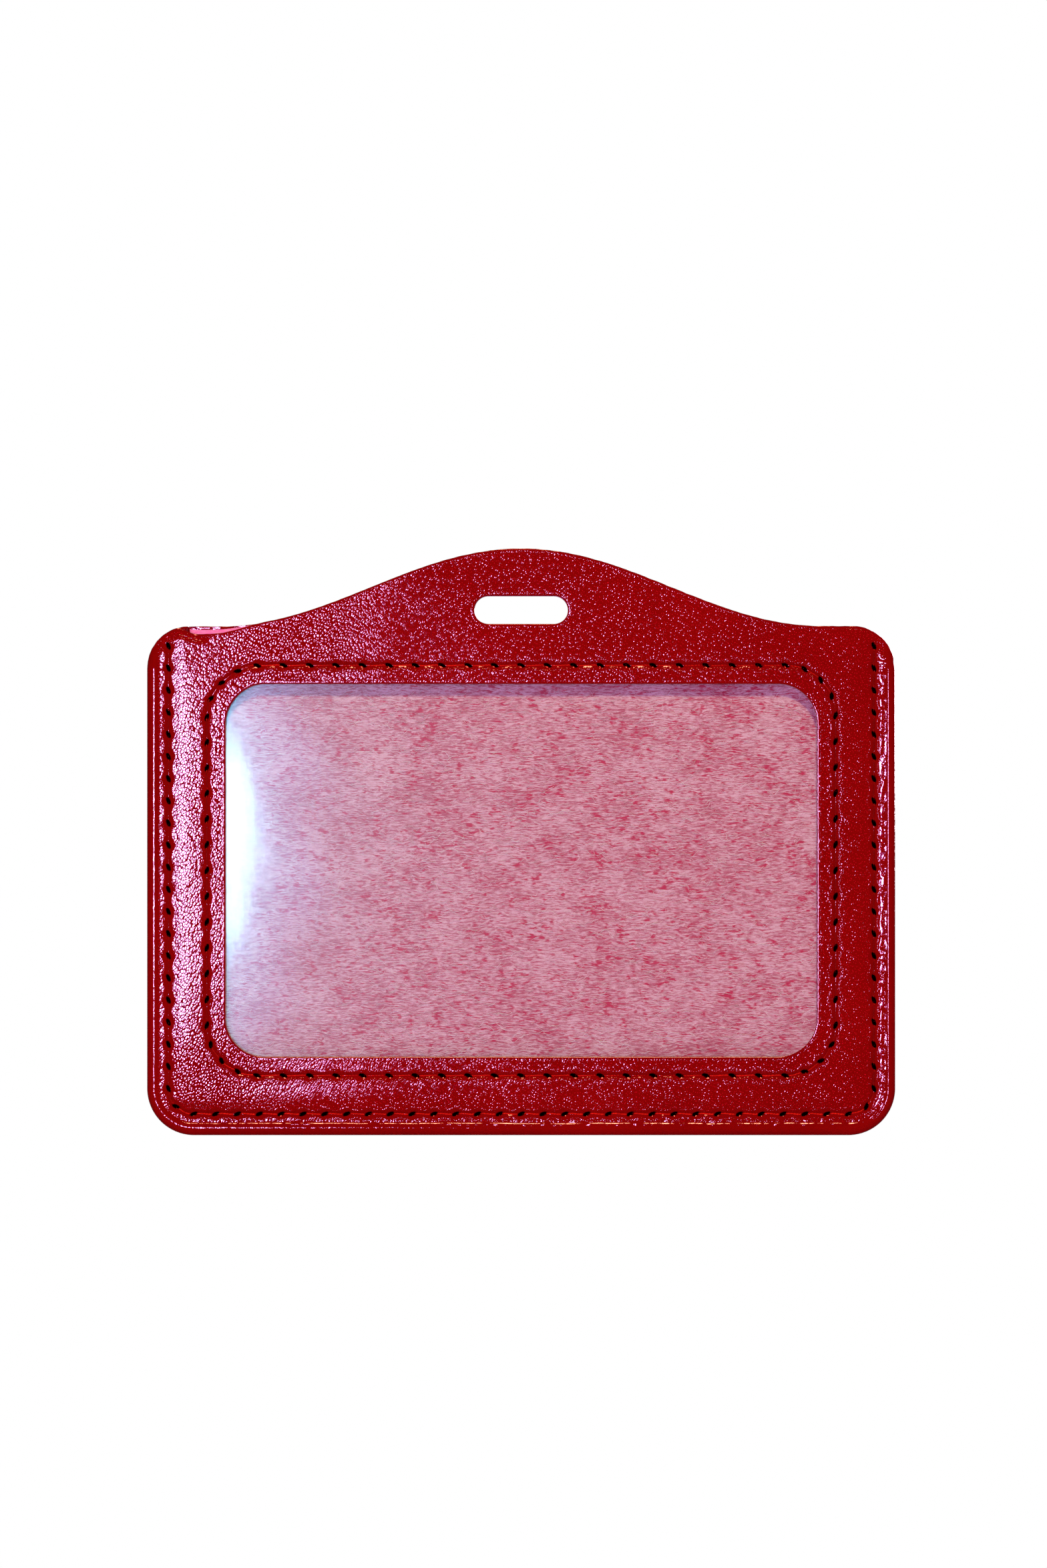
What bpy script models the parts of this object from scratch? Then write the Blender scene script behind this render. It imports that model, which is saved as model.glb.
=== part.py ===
"""A sewn badge holder: a front panel with a clear window, a back panel, their fleece backings,
the window film and the four threads of the two seams.

The frame is +Z up with the front facing -Y. The origin is the middle of the lanyard slot,
halfway through the holder's depth. An inset is a distance inwards from the outer edge, and a
side is -1 for the front panel and +1 for the back panel. Lengths are in metres.

The panels are made as the real ones are: a sheet whose left, bottom and right edges are
folded over, then both sheets die cut along the wavy top edge and through the slot.
"""

import math

import bmesh
import bpy
import numpy as np

MM = 0.001

# The whole holder
holder_width = 111.9 * MM
holder_depth = 3.6 * MM
shoulder_to_foot = 76.2 * MM
crown_above_slot = 9.2 * MM
wave_rise = 11.6 * MM
wave_half_width = 45.0 * MM
top_corner_radius = 6.3 * MM
foot_corner_radius = 7.0 * MM
least_corner_radius = 0.4 * MM

# The sheet and its turned hem
coat_thickness = 0.6 * MM
fleece_thickness = 0.4 * MM
ply_gap = 0.1 * MM
hem_width = 6.0 * MM
hem_gap = 0.2 * MM
face_drop = 0.1 * MM
face_inset = 2.1 * MM
bead_past_crest = math.radians(50)
backing_clearance = 0.3 * MM

# The lanyard slot
slot_width = 14.0 * MM
slot_height = 4.2 * MM

# The window and its film. From the hem inwards come the film's edge, its seam and the opening.
window_below_slot = 11.1 * MM
window_corner_radius = 5.8 * MM
window_chamfer = 0.25 * MM
window_seam_margin = 2.8 * MM
film_past_seam = 1.7 * MM
film_to_hem = 1.25 * MM
film_thickness = 0.25 * MM
film_corner_radius = 2.0 * MM

# Seams
thread_diameter = 0.3 * MM
thread_clearance = 0.05 * MM
hole_side_clearance = 0.1 * MM
loop_gap = 0.05 * MM
loop_reach = 0.35 * MM
edge_seam_inset = 3.2 * MM
edge_seam_top_below_slot = 5.4 * MM
edge_stitch_length = 3.25 * MM
window_seam_radius = 7.5 * MM
window_stitch_length = 3.95 * MM
window_corner_stitch_length = 2.95 * MM
valley_depth = 0.3 * MM
valley_floor_width = 0.7 * MM
edge_valley_width = 1.7 * MM
window_valley_width = 1.3 * MM
valley_run_out = 1.2 * MM

# How finely curves are cut, and how far cutters run past what they cut
corner_steps = 6
bead_steps = 6
wave_steps = 24
slot_end_steps = 8
overrun = 3.0 * MM
valley_overrun = 0.4 * MM
mitre_limit = 1.6

# Places that follow from the sizes above
half_width = holder_width / 2
half_depth = holder_depth / 2
shoulder_z = crown_above_slot - wave_rise
foot_z = shoulder_z - shoulder_to_foot
border = hem_width + film_to_hem + film_past_seam + window_seam_margin
film_margin = window_seam_margin + film_past_seam
window_half_width = half_width - border
window_top_z = -window_below_slot
window_foot_z = foot_z + border
hem_thickness = (holder_depth - hem_gap) / 2
face_y = half_depth - face_drop
coat_inner_y = face_y - coat_thickness
fleece_outer_y = coat_inner_y - ply_gap
fleece_inner_y = fleece_outer_y - fleece_thickness
film_outer_y = fleece_inner_y - ply_gap
film_inner_y = film_outer_y - film_thickness
valley_floor_y = face_y - valley_depth
thread_radius = thread_diameter / 2
hole_length = 2 * loop_reach + thread_diameter
hole_width = thread_diameter + 2 * hole_side_clearance
thread_level_y = valley_floor_y + thread_radius + thread_clearance
seam_top_z = -edge_seam_top_below_slot
spike = thread_radius * mitre_limit


def corner_points(centre_x, centre_z, radius, start, turn, steps=corner_steps):
    """Points along an arc, from the angle start through the angle turn, as (x, z) rows."""
    angles = start + turn * np.linspace(0, 1, steps + 1)
    return np.column_stack([centre_x + radius * np.cos(angles), centre_z + radius * np.sin(angles)])


def hem_line(inset, top_z):
    """The U-shaped line at an inset from the outer edge: down the left, along the foot, up the right."""
    radius = max(foot_corner_radius - inset, least_corner_radius)
    side_x = half_width - inset
    low_z = foot_z + inset
    left = corner_points(radius - side_x, low_z + radius, radius, math.pi, math.pi / 2)
    right = corner_points(side_x - radius, low_z + radius, radius, -math.pi / 2, math.pi / 2)
    return np.vstack([[-side_x, top_z], left, right, [side_x, top_z]])


def top_edge():
    """The die-cut top edge from left to right: a round corner, the wave and the other corner."""
    corner_z = shoulder_z - top_corner_radius
    corner_x = half_width - top_corner_radius
    left = corner_points(-corner_x, corner_z, top_corner_radius, math.pi, -math.pi / 2)
    right = corner_points(corner_x, corner_z, top_corner_radius, math.pi / 2, -math.pi / 2)
    x = wave_half_width * np.linspace(-1, 1, wave_steps + 1)
    z = shoulder_z + wave_rise * (1 + np.cos(math.pi * x / wave_half_width)) / 2
    return np.vstack([left, np.column_stack([x, z]), right])


def rounded_rectangle(half_x, low_z, high_z, radius):
    """A closed outline that starts at its lower left corner and goes round anticlockwise."""
    x = half_x - radius
    quarter = math.pi / 2
    return np.vstack(
        [
            corner_points(-x, low_z + radius, radius, math.pi, quarter),
            corner_points(x, low_z + radius, radius, -quarter, quarter),
            corner_points(x, high_z - radius, radius, 0, quarter),
            corner_points(-x, high_z - radius, radius, quarter, quarter),
        ]
    )


def slot_outline():
    """The slot: straight top and bottom with half-round ends."""
    radius = slot_height / 2
    x = (slot_width - slot_height) / 2
    right = corner_points(x, 0, radius, -math.pi / 2, math.pi, slot_end_steps)
    left = corner_points(-x, 0, radius, math.pi / 2, math.pi, slot_end_steps)
    return np.vstack([right, left])


def make_material(name, colour, roughness, alpha=1.0):
    material = bpy.data.materials.new(name)
    material.use_nodes = True
    shader = material.node_tree.nodes["Principled BSDF"]
    shader.inputs["Base Color"].default_value = (*colour, 1.0)
    shader.inputs["Roughness"].default_value = roughness
    shader.inputs["Metallic"].default_value = 0.0
    shader.inputs["Alpha"].default_value = alpha
    return material


def make_object(name, points, faces, material=None):
    """A mesh object whose faces are turned to point outwards."""
    mesh = bpy.data.meshes.new(name)
    mesh.from_pydata(points.tolist(), [], faces)
    work = bmesh.new()
    work.from_mesh(mesh)
    bmesh.ops.recalc_face_normals(work, faces=work.faces)
    work.to_mesh(mesh)
    work.free()
    obj = bpy.data.objects.new(name, mesh)
    bpy.context.collection.objects.link(obj)
    if material:
        mesh.materials.append(material)
    return obj


def skin_faces(count, around, closed):
    """Faces over a stack of sections that have the same number of points each."""
    faces = []
    for i in range(count if closed else count - 1):
        j = (i + 1) % count
        for k in range(around):
            m = (k + 1) % around
            faces.append((i * around + k, i * around + m, j * around + m, j * around + k))
    if not closed:
        faces.append(tuple(range(around)))
        faces.append(tuple(reversed(range((count - 1) * around, count * around))))
    return faces


def skin(name, sections, closed=False, material=None):
    """A solid through a stack of closed sections: a prism, a swept groove or a thread."""
    count, around = len(sections), len(sections[0])
    points = np.concatenate(sections)
    return make_object(name, points, skin_faces(count, around, closed), material)


def at_depth(outline, y):
    """An (x, z) outline set at a place y through the holder's depth."""
    return np.column_stack([outline[:, 0], np.full(len(outline), y), outline[:, 1]])


def prism(name, outline, low_y, high_y, material=None):
    return skin(name, [at_depth(outline, low_y), at_depth(outline, high_y)], material=material)


def as_cutter(obj):
    obj.hide_render = True
    obj.display_type = "WIRE"
    return obj


def cut(obj, *cutters):
    for cutter in cutters:
        modifier = obj.modifiers.new(cutter.name, "BOOLEAN")
        modifier.operation = "DIFFERENCE"
        modifier.object = cutter


class Route:
    """A seam line made of straight runs and round corners.

    Each run is (length, turn), where the turn is zero on a straight run and an angle to the
    left, seen from the front, on a round corner. walk gives the place, the heading and the
    left-hand side at each distance along the line.
    """

    def __init__(self, start, heading, runs):
        self.runs = []
        place = np.array(start, float)
        distance = 0.0
        for length, turn in runs:
            self.runs.append((distance, length, turn, place, heading))
            place = self.step(place, heading, length, turn, np.array([length]))[0][0]
            heading += turn
            distance += length
        self.length = distance

    @staticmethod
    def step(place, heading, length, turn, along):
        if turn == 0:
            ahead = np.array([math.cos(heading), math.sin(heading)])
            return place + along[:, None] * ahead, np.full(len(along), heading)
        radius = length / turn
        now = heading + along / radius
        centre = place + radius * np.array([-math.sin(heading), math.cos(heading)])
        return centre + radius * np.column_stack([np.sin(now), -np.cos(now)]), now

    def walk(self, distances):
        places = np.zeros((len(distances), 2))
        headings = np.zeros(len(distances))
        for start, length, turn, place, heading in self.runs:
            here = distances >= start
            found, now = self.step(place, heading, length, turn, distances[here] - start)
            places[here] = found
            headings[here] = now
        ahead = np.column_stack([np.cos(headings), np.sin(headings)])
        left = np.column_stack([-ahead[:, 1], ahead[:, 0]])
        return places, ahead, left

    def stations(self):
        """Distances that follow the line well: every run's ends and the steps round its corners."""
        marks = [0.0]
        for start, length, turn, _, _ in self.runs:
            steps = 1 if turn == 0 else corner_steps
            marks.extend(start + length * (k + 1) / steps for k in range(steps))
        return np.array(marks)

    def stitch_marks(self, straight_stitch, corner_stitch, closed):
        """Distances of the needle holes: equal stitches on each run, near the length given for it."""
        marks = []
        for start, length, turn, _, _ in self.runs:
            count = round(length / (corner_stitch if turn else straight_stitch))
            marks.extend(start + length * k / count for k in range(count))
        if not closed:
            marks.append(self.length)
        return np.array(marks)


def edge_seam_route():
    """The U-shaped seam through both hems, from its top left end to its top right end."""
    radius = max(foot_corner_radius - edge_seam_inset, least_corner_radius)
    x = half_width - edge_seam_inset
    low_z = foot_z + edge_seam_inset
    side = seam_top_z - low_z - radius
    corner = radius * math.pi / 2
    foot = 2 * (x - radius)
    quarter = math.pi / 2
    runs = [(side, 0), (corner, quarter), (foot, 0), (corner, quarter), (side, 0)]
    return Route((-x, seam_top_z), -quarter, runs)


def window_seam_route():
    """The closed seam around the window, from the top of its left side."""
    x = window_half_width + window_seam_margin
    high_z = window_top_z + window_seam_margin
    low_z = window_foot_z - window_seam_margin
    radius = window_seam_radius
    wide = 2 * (x - radius)
    high = high_z - low_z - 2 * radius
    corner = (radius * math.pi / 2, math.pi / 2)
    runs = [(high, 0), corner, (wide, 0), corner, (high, 0), corner, (wide, 0), corner]
    return Route((-x, high_z - radius), -math.pi / 2, runs)


def hemmed_sheet(name, side, material):
    """A sheet with its left, bottom and right edges folded over, before its top is cut.

    The hem's profile starts on the face, drops into the crease, goes round the rolled bead and
    along the turned flange, and steps back up to the sheet's inner side.
    """
    top_z = crown_above_slot + overrun
    radius = hem_thickness / 2
    crest = math.pi / 2
    round_the_edge = crest - math.pi * np.linspace(0, 1, bead_steps + 1)
    angles = [crest + bead_past_crest, crest + bead_past_crest / 2, *round_the_edge]
    profile = [(hem_width, face_drop), (face_inset, face_drop)]
    profile += [(radius - radius * math.cos(a), radius - radius * math.sin(a)) for a in angles]
    profile += [(hem_width, hem_thickness), (hem_width, face_drop + coat_thickness)]
    lines = [at_depth(hem_line(inset, top_z), side * (half_depth - depth)) for inset, depth in profile]
    rows, columns = len(lines), len(lines[0])
    faces = []
    for i in range(rows - 1):
        for j in range(columns - 1):
            k = i * columns + j
            faces.append((k, k + 1, k + columns + 1, k + columns))
    last = (rows - 1) * columns
    faces.append(tuple(range(columns)))
    faces.append(tuple(range(last, last + columns)))
    left_ends = [i * columns for i in range(rows)]
    right_ends = [i * columns + columns - 1 for i in reversed(range(rows))]
    faces.append(tuple(left_ends + right_ends))
    return make_object(name, np.concatenate(lines), faces, material)


def top_die():
    """Everything above the wavy top edge, which one die cuts from both sheets."""
    edge = top_edge()
    high_z = crown_above_slot + 2 * overrun
    out_x = half_width + overrun
    corner_z = edge[0, 1]
    ends = [[out_x, corner_z], [out_x, high_z], [-out_x, high_z], [-out_x, corner_z]]
    outline = np.vstack([edge, ends])
    return as_cutter(prism("top_die", outline, -half_depth - overrun, half_depth + overrun))


def slot_punch():
    return as_cutter(prism("slot_punch", slot_outline(), -half_depth - overrun, half_depth + overrun))


def window_die():
    """The window opening through the front sheet, a little wider at the face."""
    grow = np.array([0, 0, window_chamfer, window_chamfer])
    depths = np.array([0, face_y - window_chamfer, face_y, half_depth + overrun])
    sections = []
    for wider, y in zip(grow, -depths):
        outline = rounded_rectangle(
            window_half_width + wider,
            window_foot_z - wider,
            window_top_z + wider,
            window_corner_radius + wider,
        )
        sections.append(at_depth(outline, y))
    return as_cutter(skin("window_die", sections))


def valley_cutter(name, route, width, side, closed):
    """The groove that a seam pulls into the sheet: a flat floor with sloping walls.

    An open groove runs out a little past its first and last stitch.
    """
    distances = route.stations()
    if closed:
        distances = distances[:-1]
    else:
        distances = np.concatenate([[-valley_run_out], distances[1:-1], [route.length + valley_run_out]])
    places, _, left = route.walk(distances) if closed else walk_past_ends(route, distances)
    floor = valley_floor_width / 2
    mouth = width / 2
    outer_y = face_y + valley_overrun
    section = [(floor, valley_floor_y), (mouth, face_y), (mouth, outer_y)]
    section += [(-across, y) for across, y in reversed(section)]
    sections = [[] for _ in distances]
    for across, y in section:
        for k, point in enumerate(places + across * left):
            sections[k].append((point[0], side * y, point[1]))
    return as_cutter(skin(name, [np.array(s) for s in sections], closed))


def walk_past_ends(route, distances):
    """As walk, and straight on before the route's start and past its end."""
    inside = np.clip(distances, 0, route.length)
    places, ahead, left = route.walk(inside)
    return places + (distances - inside)[:, None] * ahead, ahead, left


def hole_punch(name, route, marks, low_y, high_y):
    """All needle holes of one seam: a short slit along the seam for each."""
    places, ahead, left = route.walk(marks)
    half_l, half_w = hole_length / 2, hole_width / 2
    corners = [(-half_l, -half_w), (half_l, -half_w), (half_l, half_w), (-half_l, half_w)]
    points, faces = [], []
    for k in range(len(marks)):
        base = len(points)
        for y in (low_y, high_y):
            for along, across in corners:
                x, z = places[k] + along * ahead[k] + across * left[k]
                points.append((x, y, z))
        faces += [tuple(base + index for index in face) for face in skin_faces(2, len(corners), False)]
    return as_cutter(make_object(name, np.array(points), faces))


def thread_sections(route, distances, depths, closed):
    """Diamond sections of a thread at distances along a seam and places through the depth.

    Each section lies in the mitre plane between its two neighbours, and is stretched across
    that mitre up to mitre_limit.
    """
    path = np.column_stack([distances, depths])
    if closed:
        steps = np.diff(path, axis=0, append=path[:1] + [[route.length, 0]])
        before = np.roll(steps, 1, axis=0)
    else:
        steps = np.diff(path, axis=0)
        before = np.vstack([steps[:1], steps])
        steps = np.vstack([steps, steps[-1:]])
    before = before / np.linalg.norm(before, axis=1)[:, None]
    after = steps / np.linalg.norm(steps, axis=1)[:, None]
    middle = before + after
    middle = middle / np.linalg.norm(middle, axis=1)[:, None]
    stretch = np.minimum(1 / (middle * after).sum(axis=1), mitre_limit)
    rise = np.column_stack([-middle[:, 1], middle[:, 0]]) * (stretch * thread_radius)[:, None]
    places, ahead, left = route.walk(distances)
    sections = []
    for k, depth in enumerate(depths):
        centre = np.array([places[k, 0], depth, places[k, 1]])
        side = np.array([left[k, 0], 0, left[k, 1]]) * thread_radius
        up = np.array([ahead[k, 0] * rise[k, 0], rise[k, 1], ahead[k, 1] * rise[k, 0]])
        sections.append(np.array([centre + side, centre + up, centre - side, centre - up]))
    return sections


def stitched_thread(name, route, marks, side, dip_y, closed, material):
    """A thread that lies on the sheet between the needle holes and dips into each of them."""
    distances = (marks[:, None] + np.array([-loop_reach, 0, loop_reach])).ravel()
    depths = np.tile([thread_level_y, dip_y, thread_level_y], len(marks)) * side
    if closed:
        distances = distances % route.length
        order = np.argsort(distances)
        distances, depths = distances[order], depths[order]
    else:
        distances, depths = distances[1:-1], depths[1:-1]
    sections = thread_sections(route, distances, depths, closed)
    return skin(name, sections, closed, material)


def lying_thread(name, route, y, material):
    """A thread that runs straight along a seam, under the needle thread's loops."""
    distances = route.stations()[:-1]
    sections = thread_sections(route, distances, np.full(len(distances), y), True)
    return skin(name, sections, True, material)


def backing(name, side, material):
    """The fleece behind a sheet, inside the hem's turned flange."""
    inset = hem_width + backing_clearance
    outline = hem_line(inset, crown_above_slot + overrun)
    return prism(name, outline, side * fleece_outer_y, side * fleece_inner_y, material)


def film(material):
    """The clear window, a flat sheet that reaches past the seam on every side."""
    outline = rounded_rectangle(
        window_half_width + film_margin,
        window_foot_z - film_margin,
        window_top_z + film_margin,
        film_corner_radius,
    )
    return prism("window_film", outline, -film_outer_y, -film_inner_y, material)


def build():
    for obj in list(bpy.data.objects):
        bpy.data.objects.remove(obj)

    coat = make_material("red_coat", (0.33, 0.004, 0.004), 0.34)
    fleece = make_material("pale_fleece", (0.72, 0.45, 0.50), 0.95)
    clear = make_material("clear_film", (0.9, 0.92, 0.97), 0.08, 0.3)
    thread = make_material("red_thread", (0.5, 0.006, 0.005), 0.5)

    edge_route = edge_seam_route()
    window_route = window_seam_route()
    edge_marks = edge_route.stitch_marks(edge_stitch_length, edge_stitch_length, False)
    window_marks = window_route.stitch_marks(window_stitch_length, window_corner_stitch_length, True)

    die = top_die()
    slot = slot_punch()
    window = window_die()
    past_y = half_depth + overrun
    edge_holes = hole_punch("edge_hole_punch", edge_route, edge_marks, -past_y, past_y)
    window_holes = hole_punch("window_hole_punch", window_route, window_marks, -past_y, 0)
    front_edge_valley = valley_cutter("front_edge_valley", edge_route, edge_valley_width, -1, False)
    back_edge_valley = valley_cutter("back_edge_valley", edge_route, edge_valley_width, 1, False)
    window_valley = valley_cutter("window_valley", window_route, window_valley_width, -1, True)

    front = hemmed_sheet("front_panel", -1, coat)
    cut(front, front_edge_valley, window_valley, window, slot, die, edge_holes, window_holes)
    back = hemmed_sheet("back_panel", 1, coat)
    cut(back, back_edge_valley, slot, die, edge_holes)
    cut(backing("front_backing", -1, fleece), window, slot, die, window_holes)
    cut(backing("back_backing", 1, fleece), slot, die)
    cut(film(clear), window_holes)

    edge_dip_y = spike + loop_gap
    stitched_thread("edge_needle_thread", edge_route, edge_marks, -1, edge_dip_y, False, thread)
    stitched_thread("edge_bobbin_thread", edge_route, edge_marks, 1, edge_dip_y, False, thread)
    window_dip_y = film_inner_y + spike
    stitched_thread("window_needle_thread", window_route, window_marks, -1, window_dip_y, True, thread)
    lying_y = -(film_inner_y - thread_clearance - thread_radius)
    lying_thread("window_bobbin_thread", window_route, lying_y, thread)


build()
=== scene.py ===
"""A red sewn badge holder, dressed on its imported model.

Two panels with rolled, stitched edges hold a clear window between them, and pink fleece
backs both. Each panel is one closed skin: bands of rings round its edge, its window and its
slot, with a web of triangles between them. A panel's depth is one function of x and z.
"""

import math

import bpy
import numpy as np
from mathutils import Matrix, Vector
from mathutils.geometry import delaunay_2d_cdt


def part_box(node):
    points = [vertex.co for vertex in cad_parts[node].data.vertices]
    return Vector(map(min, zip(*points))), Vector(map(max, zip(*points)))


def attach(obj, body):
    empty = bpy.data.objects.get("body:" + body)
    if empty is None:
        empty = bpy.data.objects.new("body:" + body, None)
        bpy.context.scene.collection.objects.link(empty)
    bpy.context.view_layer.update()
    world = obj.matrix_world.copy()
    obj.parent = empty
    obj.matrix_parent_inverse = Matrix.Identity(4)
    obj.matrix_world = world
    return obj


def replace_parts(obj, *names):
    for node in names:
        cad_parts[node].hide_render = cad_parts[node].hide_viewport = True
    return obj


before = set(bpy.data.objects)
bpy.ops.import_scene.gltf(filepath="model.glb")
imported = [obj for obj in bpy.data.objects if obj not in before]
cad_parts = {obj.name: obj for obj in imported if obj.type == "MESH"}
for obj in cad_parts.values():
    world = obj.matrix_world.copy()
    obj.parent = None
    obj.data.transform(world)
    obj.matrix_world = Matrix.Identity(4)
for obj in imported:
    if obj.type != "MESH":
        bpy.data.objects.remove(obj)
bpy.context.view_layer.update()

MM = 0.001
FRONT = -1
BACK = 1

# The holder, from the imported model
panel_low, panel_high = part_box("front_panel")
film_low, film_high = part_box("window_film")
half_width = panel_high[0]
foot_z = panel_low[2]
crown_z = panel_high[2]
half_depth = -panel_low[1]
hem_thickness = panel_high[1] - panel_low[1]

# The outline
wave_rise = 11.6 * MM
wave_half_width = 45.0 * MM
shoulder_z = crown_z - wave_rise
shoulder_radius = 6.3 * MM
foot_radius = 7.0 * MM
foot_centre_x = half_width - foot_radius
foot_centre_z = foot_z + foot_radius
shoulder_centre_x = half_width - shoulder_radius
shoulder_centre_z = shoulder_z - shoulder_radius
slot_radius = 2.1 * MM
slot_half_straight = 4.9 * MM

# The sheet: its face lies a little under the bead's crest
bead_radius = hem_thickness / 2
bead_right_slope = 0.35
face_drop = 0.1 * MM
coat_thickness = 0.6 * MM
hem_width = 6.0 * MM
hem_step_reach = 0.05 * MM
inner_depth_limit = 1.3 * MM
inner_least_inset = 1.6 * MM
crest_inset = 1.08 * MM
crease_inset = 1.5 * MM
crease_rounding = 0.08 * MM
foot_crease_sharpening = 0.05 * MM
foot_grain_delay = 0.4 * MM
grain_reach = 0.3 * MM

# The trough beside the bead: shallow on the left, wide on the right and sharp along the foot
right_change = 20 * MM
foot_zone_start = 6 * MM
foot_zone_full = 2.5 * MM
trough_start = 0.95 * MM
trough_right_delay = 0.2 * MM
trough_foot_delay = 0.7 * MM
trough_reach = 0.7 * MM
trough_right_reach = 1.25 * MM
trough_foot_reach = 0.3 * MM
trough_depth = 0.1 * MM
trough_right_depth = 0.2 * MM
trough_foot_depth = 0.165 * MM
trough_rim = 0.02 * MM
trough_end = 3.6 * MM
trough_return = 2.0 * MM
under_bead_slope = 3

# Unevenness: the lengths of the waves that add up to it, and its size
edge_wobble_lengths = [7 * MM, 13 * MM, 23 * MM]
edge_wobble = 0.05 * MM
ripple_lengths = [0.9 * MM, 1.4 * MM, 2.1 * MM, 3.2 * MM]
ripple = 0.1 * MM
foot_ripple_loss = 0.7
dent_lengths = [0.9 * MM, 1.3 * MM, 1.7 * MM, 2.3 * MM]
dent_edges = [1.3 * MM, 1.6 * MM, 2.1 * MM, 2.6 * MM]
right_dent = 0.03 * MM
foot_dent = 0.004 * MM
swell_lengths = [31 * MM, 47 * MM, 19 * MM, 26 * MM]
swell = 0.035 * MM
cut_wobble_lengths = [2.1 * MM, 3.7 * MM, 1.3 * MM]
cut_wobble = 0.03 * MM

# The window opening and its seam
film_margin = 4.5 * MM
window_half_width = film_high[0] - film_margin
window_top_z = film_high[2] - film_margin
window_foot_z = film_low[2] + film_margin
window_radius = 5.8 * MM
window_seam_margin = 2.8 * MM
window_seam_radius = 7.5 * MM
lip_depth = 0.12 * MM
lip_reach = 0.035 * MM
lip_grain = [0.3 * MM, 0.6 * MM]

# The edge seam
edge_seam_inset = 3.2 * MM
edge_seam_top_z = -5.4 * MM

# Both seams: their stitches, the valleys that they pull and the slits of the needle
stitches_side = 20
stitches_foot_corner = 2
stitches_foot = 30
stitches_window_high = 12
stitches_window_wide = 20
stitches_window_corner = 4
columns_per_stitch = 12
column_crowding = 0.07
thread_radius = 0.11 * MM
edge_valley_reach = 0.93 * MM
window_valley_reach = 0.97 * MM
valley_slope = 0.4
valley_floor_share = 0.75
valley_narrow_share = 0.52
valley_rounding = 0.08
valley_wobble_lengths = [5 * MM, 9 * MM]
valley_wobble = 0.05 * MM
rim_smoothness = 0.4
hole_half_length = 0.6 * MM
hole_half_width = 0.33 * MM
hole_slant = 0.32
hole_depth = 0.22 * MM
hole_rim_start = 0.68
hole_rim_end = 1.12

# The shoulders, and the front sheet's top left corner, which lies lower than the back's
shoulder_slope_share = 0.3
shoulder_slope_reach = 1.6 * MM
shoulder_zone_x = [46 * MM, 49 * MM]
shoulder_zone_z = [-9 * MM, -6.5 * MM]
corner_drop = 1.2 * MM
corner_drop_height = 9.0 * MM
corner_drop_edges = [-51.8 * MM, -48.6 * MM, -47 * MM, -38 * MM]


def smooth_step(low, high, value):
    """A cubic ramp from 0 at low to 1 at high."""
    share = np.clip((value - low) / (high - low), 0, 1)
    return share * share * (3 - 2 * share)


def hump(edges, value):
    """A smooth rise from 0 to 1 between the first two edges, and a fall between the last two."""
    start, full, fading, end = edges
    return smooth_step(start, full, value) * smooth_step(end, fading, value)


def soft_least(a, b, blend):
    """The smaller of two depths, with the change between them rounded over blend."""
    share = np.clip(0.5 + 0.5 * (b - a) / blend, 0, 1)
    return b + (a - b) * share - blend * share * (1 - share)


def waves(x, z, lengths, seed):
    """Gentle seeded waviness between about -1 and 1: a sum of sines with random headings."""
    random = np.random.default_rng(seed)
    total = np.zeros_like(x)
    for length in lengths:
        heading, phase = random.uniform(0, 2 * math.pi, 2)
        total += np.sin(2 * math.pi * (x * math.cos(heading) + z * math.sin(heading)) / length + phase)
    return total / math.sqrt(len(lengths))


# Distances from the holder's lines


def inset_of(x, z):
    """Distance inwards from the folded U-shaped edge, as if its sides ran on above the shoulders."""
    across = np.abs(x) - foot_centre_x
    down = foot_centre_z - z
    in_corner = (across > 0) & (down > 0)
    return foot_radius - np.where(in_corner, np.hypot(across, down), np.maximum(across, down))


def outside_rectangle(x, z, half_x, low_z, high_z, radius):
    """Distance outwards from a rounded rectangle, negative inside it."""
    across = np.abs(x) - (half_x - radius)
    along = np.abs(z - (low_z + high_z) / 2) - ((high_z - low_z) / 2 - radius)
    corner = np.hypot(np.maximum(across, 0), np.maximum(along, 0))
    return corner + np.minimum(np.maximum(across, along), 0) - radius


window_rectangle = (window_half_width, window_foot_z, window_top_z, window_radius)
seam_half_x = window_half_width + window_seam_margin
seam_low_z = window_foot_z - window_seam_margin
seam_high_z = window_top_z + window_seam_margin
seam_rectangle = (seam_half_x, seam_low_z, seam_high_z, window_seam_radius)
seam_middle_z = (seam_low_z + seam_high_z) / 2
seam_straight_x = seam_half_x - window_seam_radius
seam_straight_z = (seam_high_z - seam_low_z) / 2 - window_seam_radius


def outside_slot(x, z):
    """Distance outwards from the slot's outline, a straight run with half-round ends."""
    return np.hypot(np.maximum(np.abs(x) - slot_half_straight, 0), z) - slot_radius


def top_edge_z(x):
    """The die-cut top edge: a cosine wave between two flat shoulders."""
    share = np.clip(x / wave_half_width, -1, 1)
    return shoulder_z + wave_rise * (1 + np.cos(math.pi * share)) / 2


# The two seams


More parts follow.
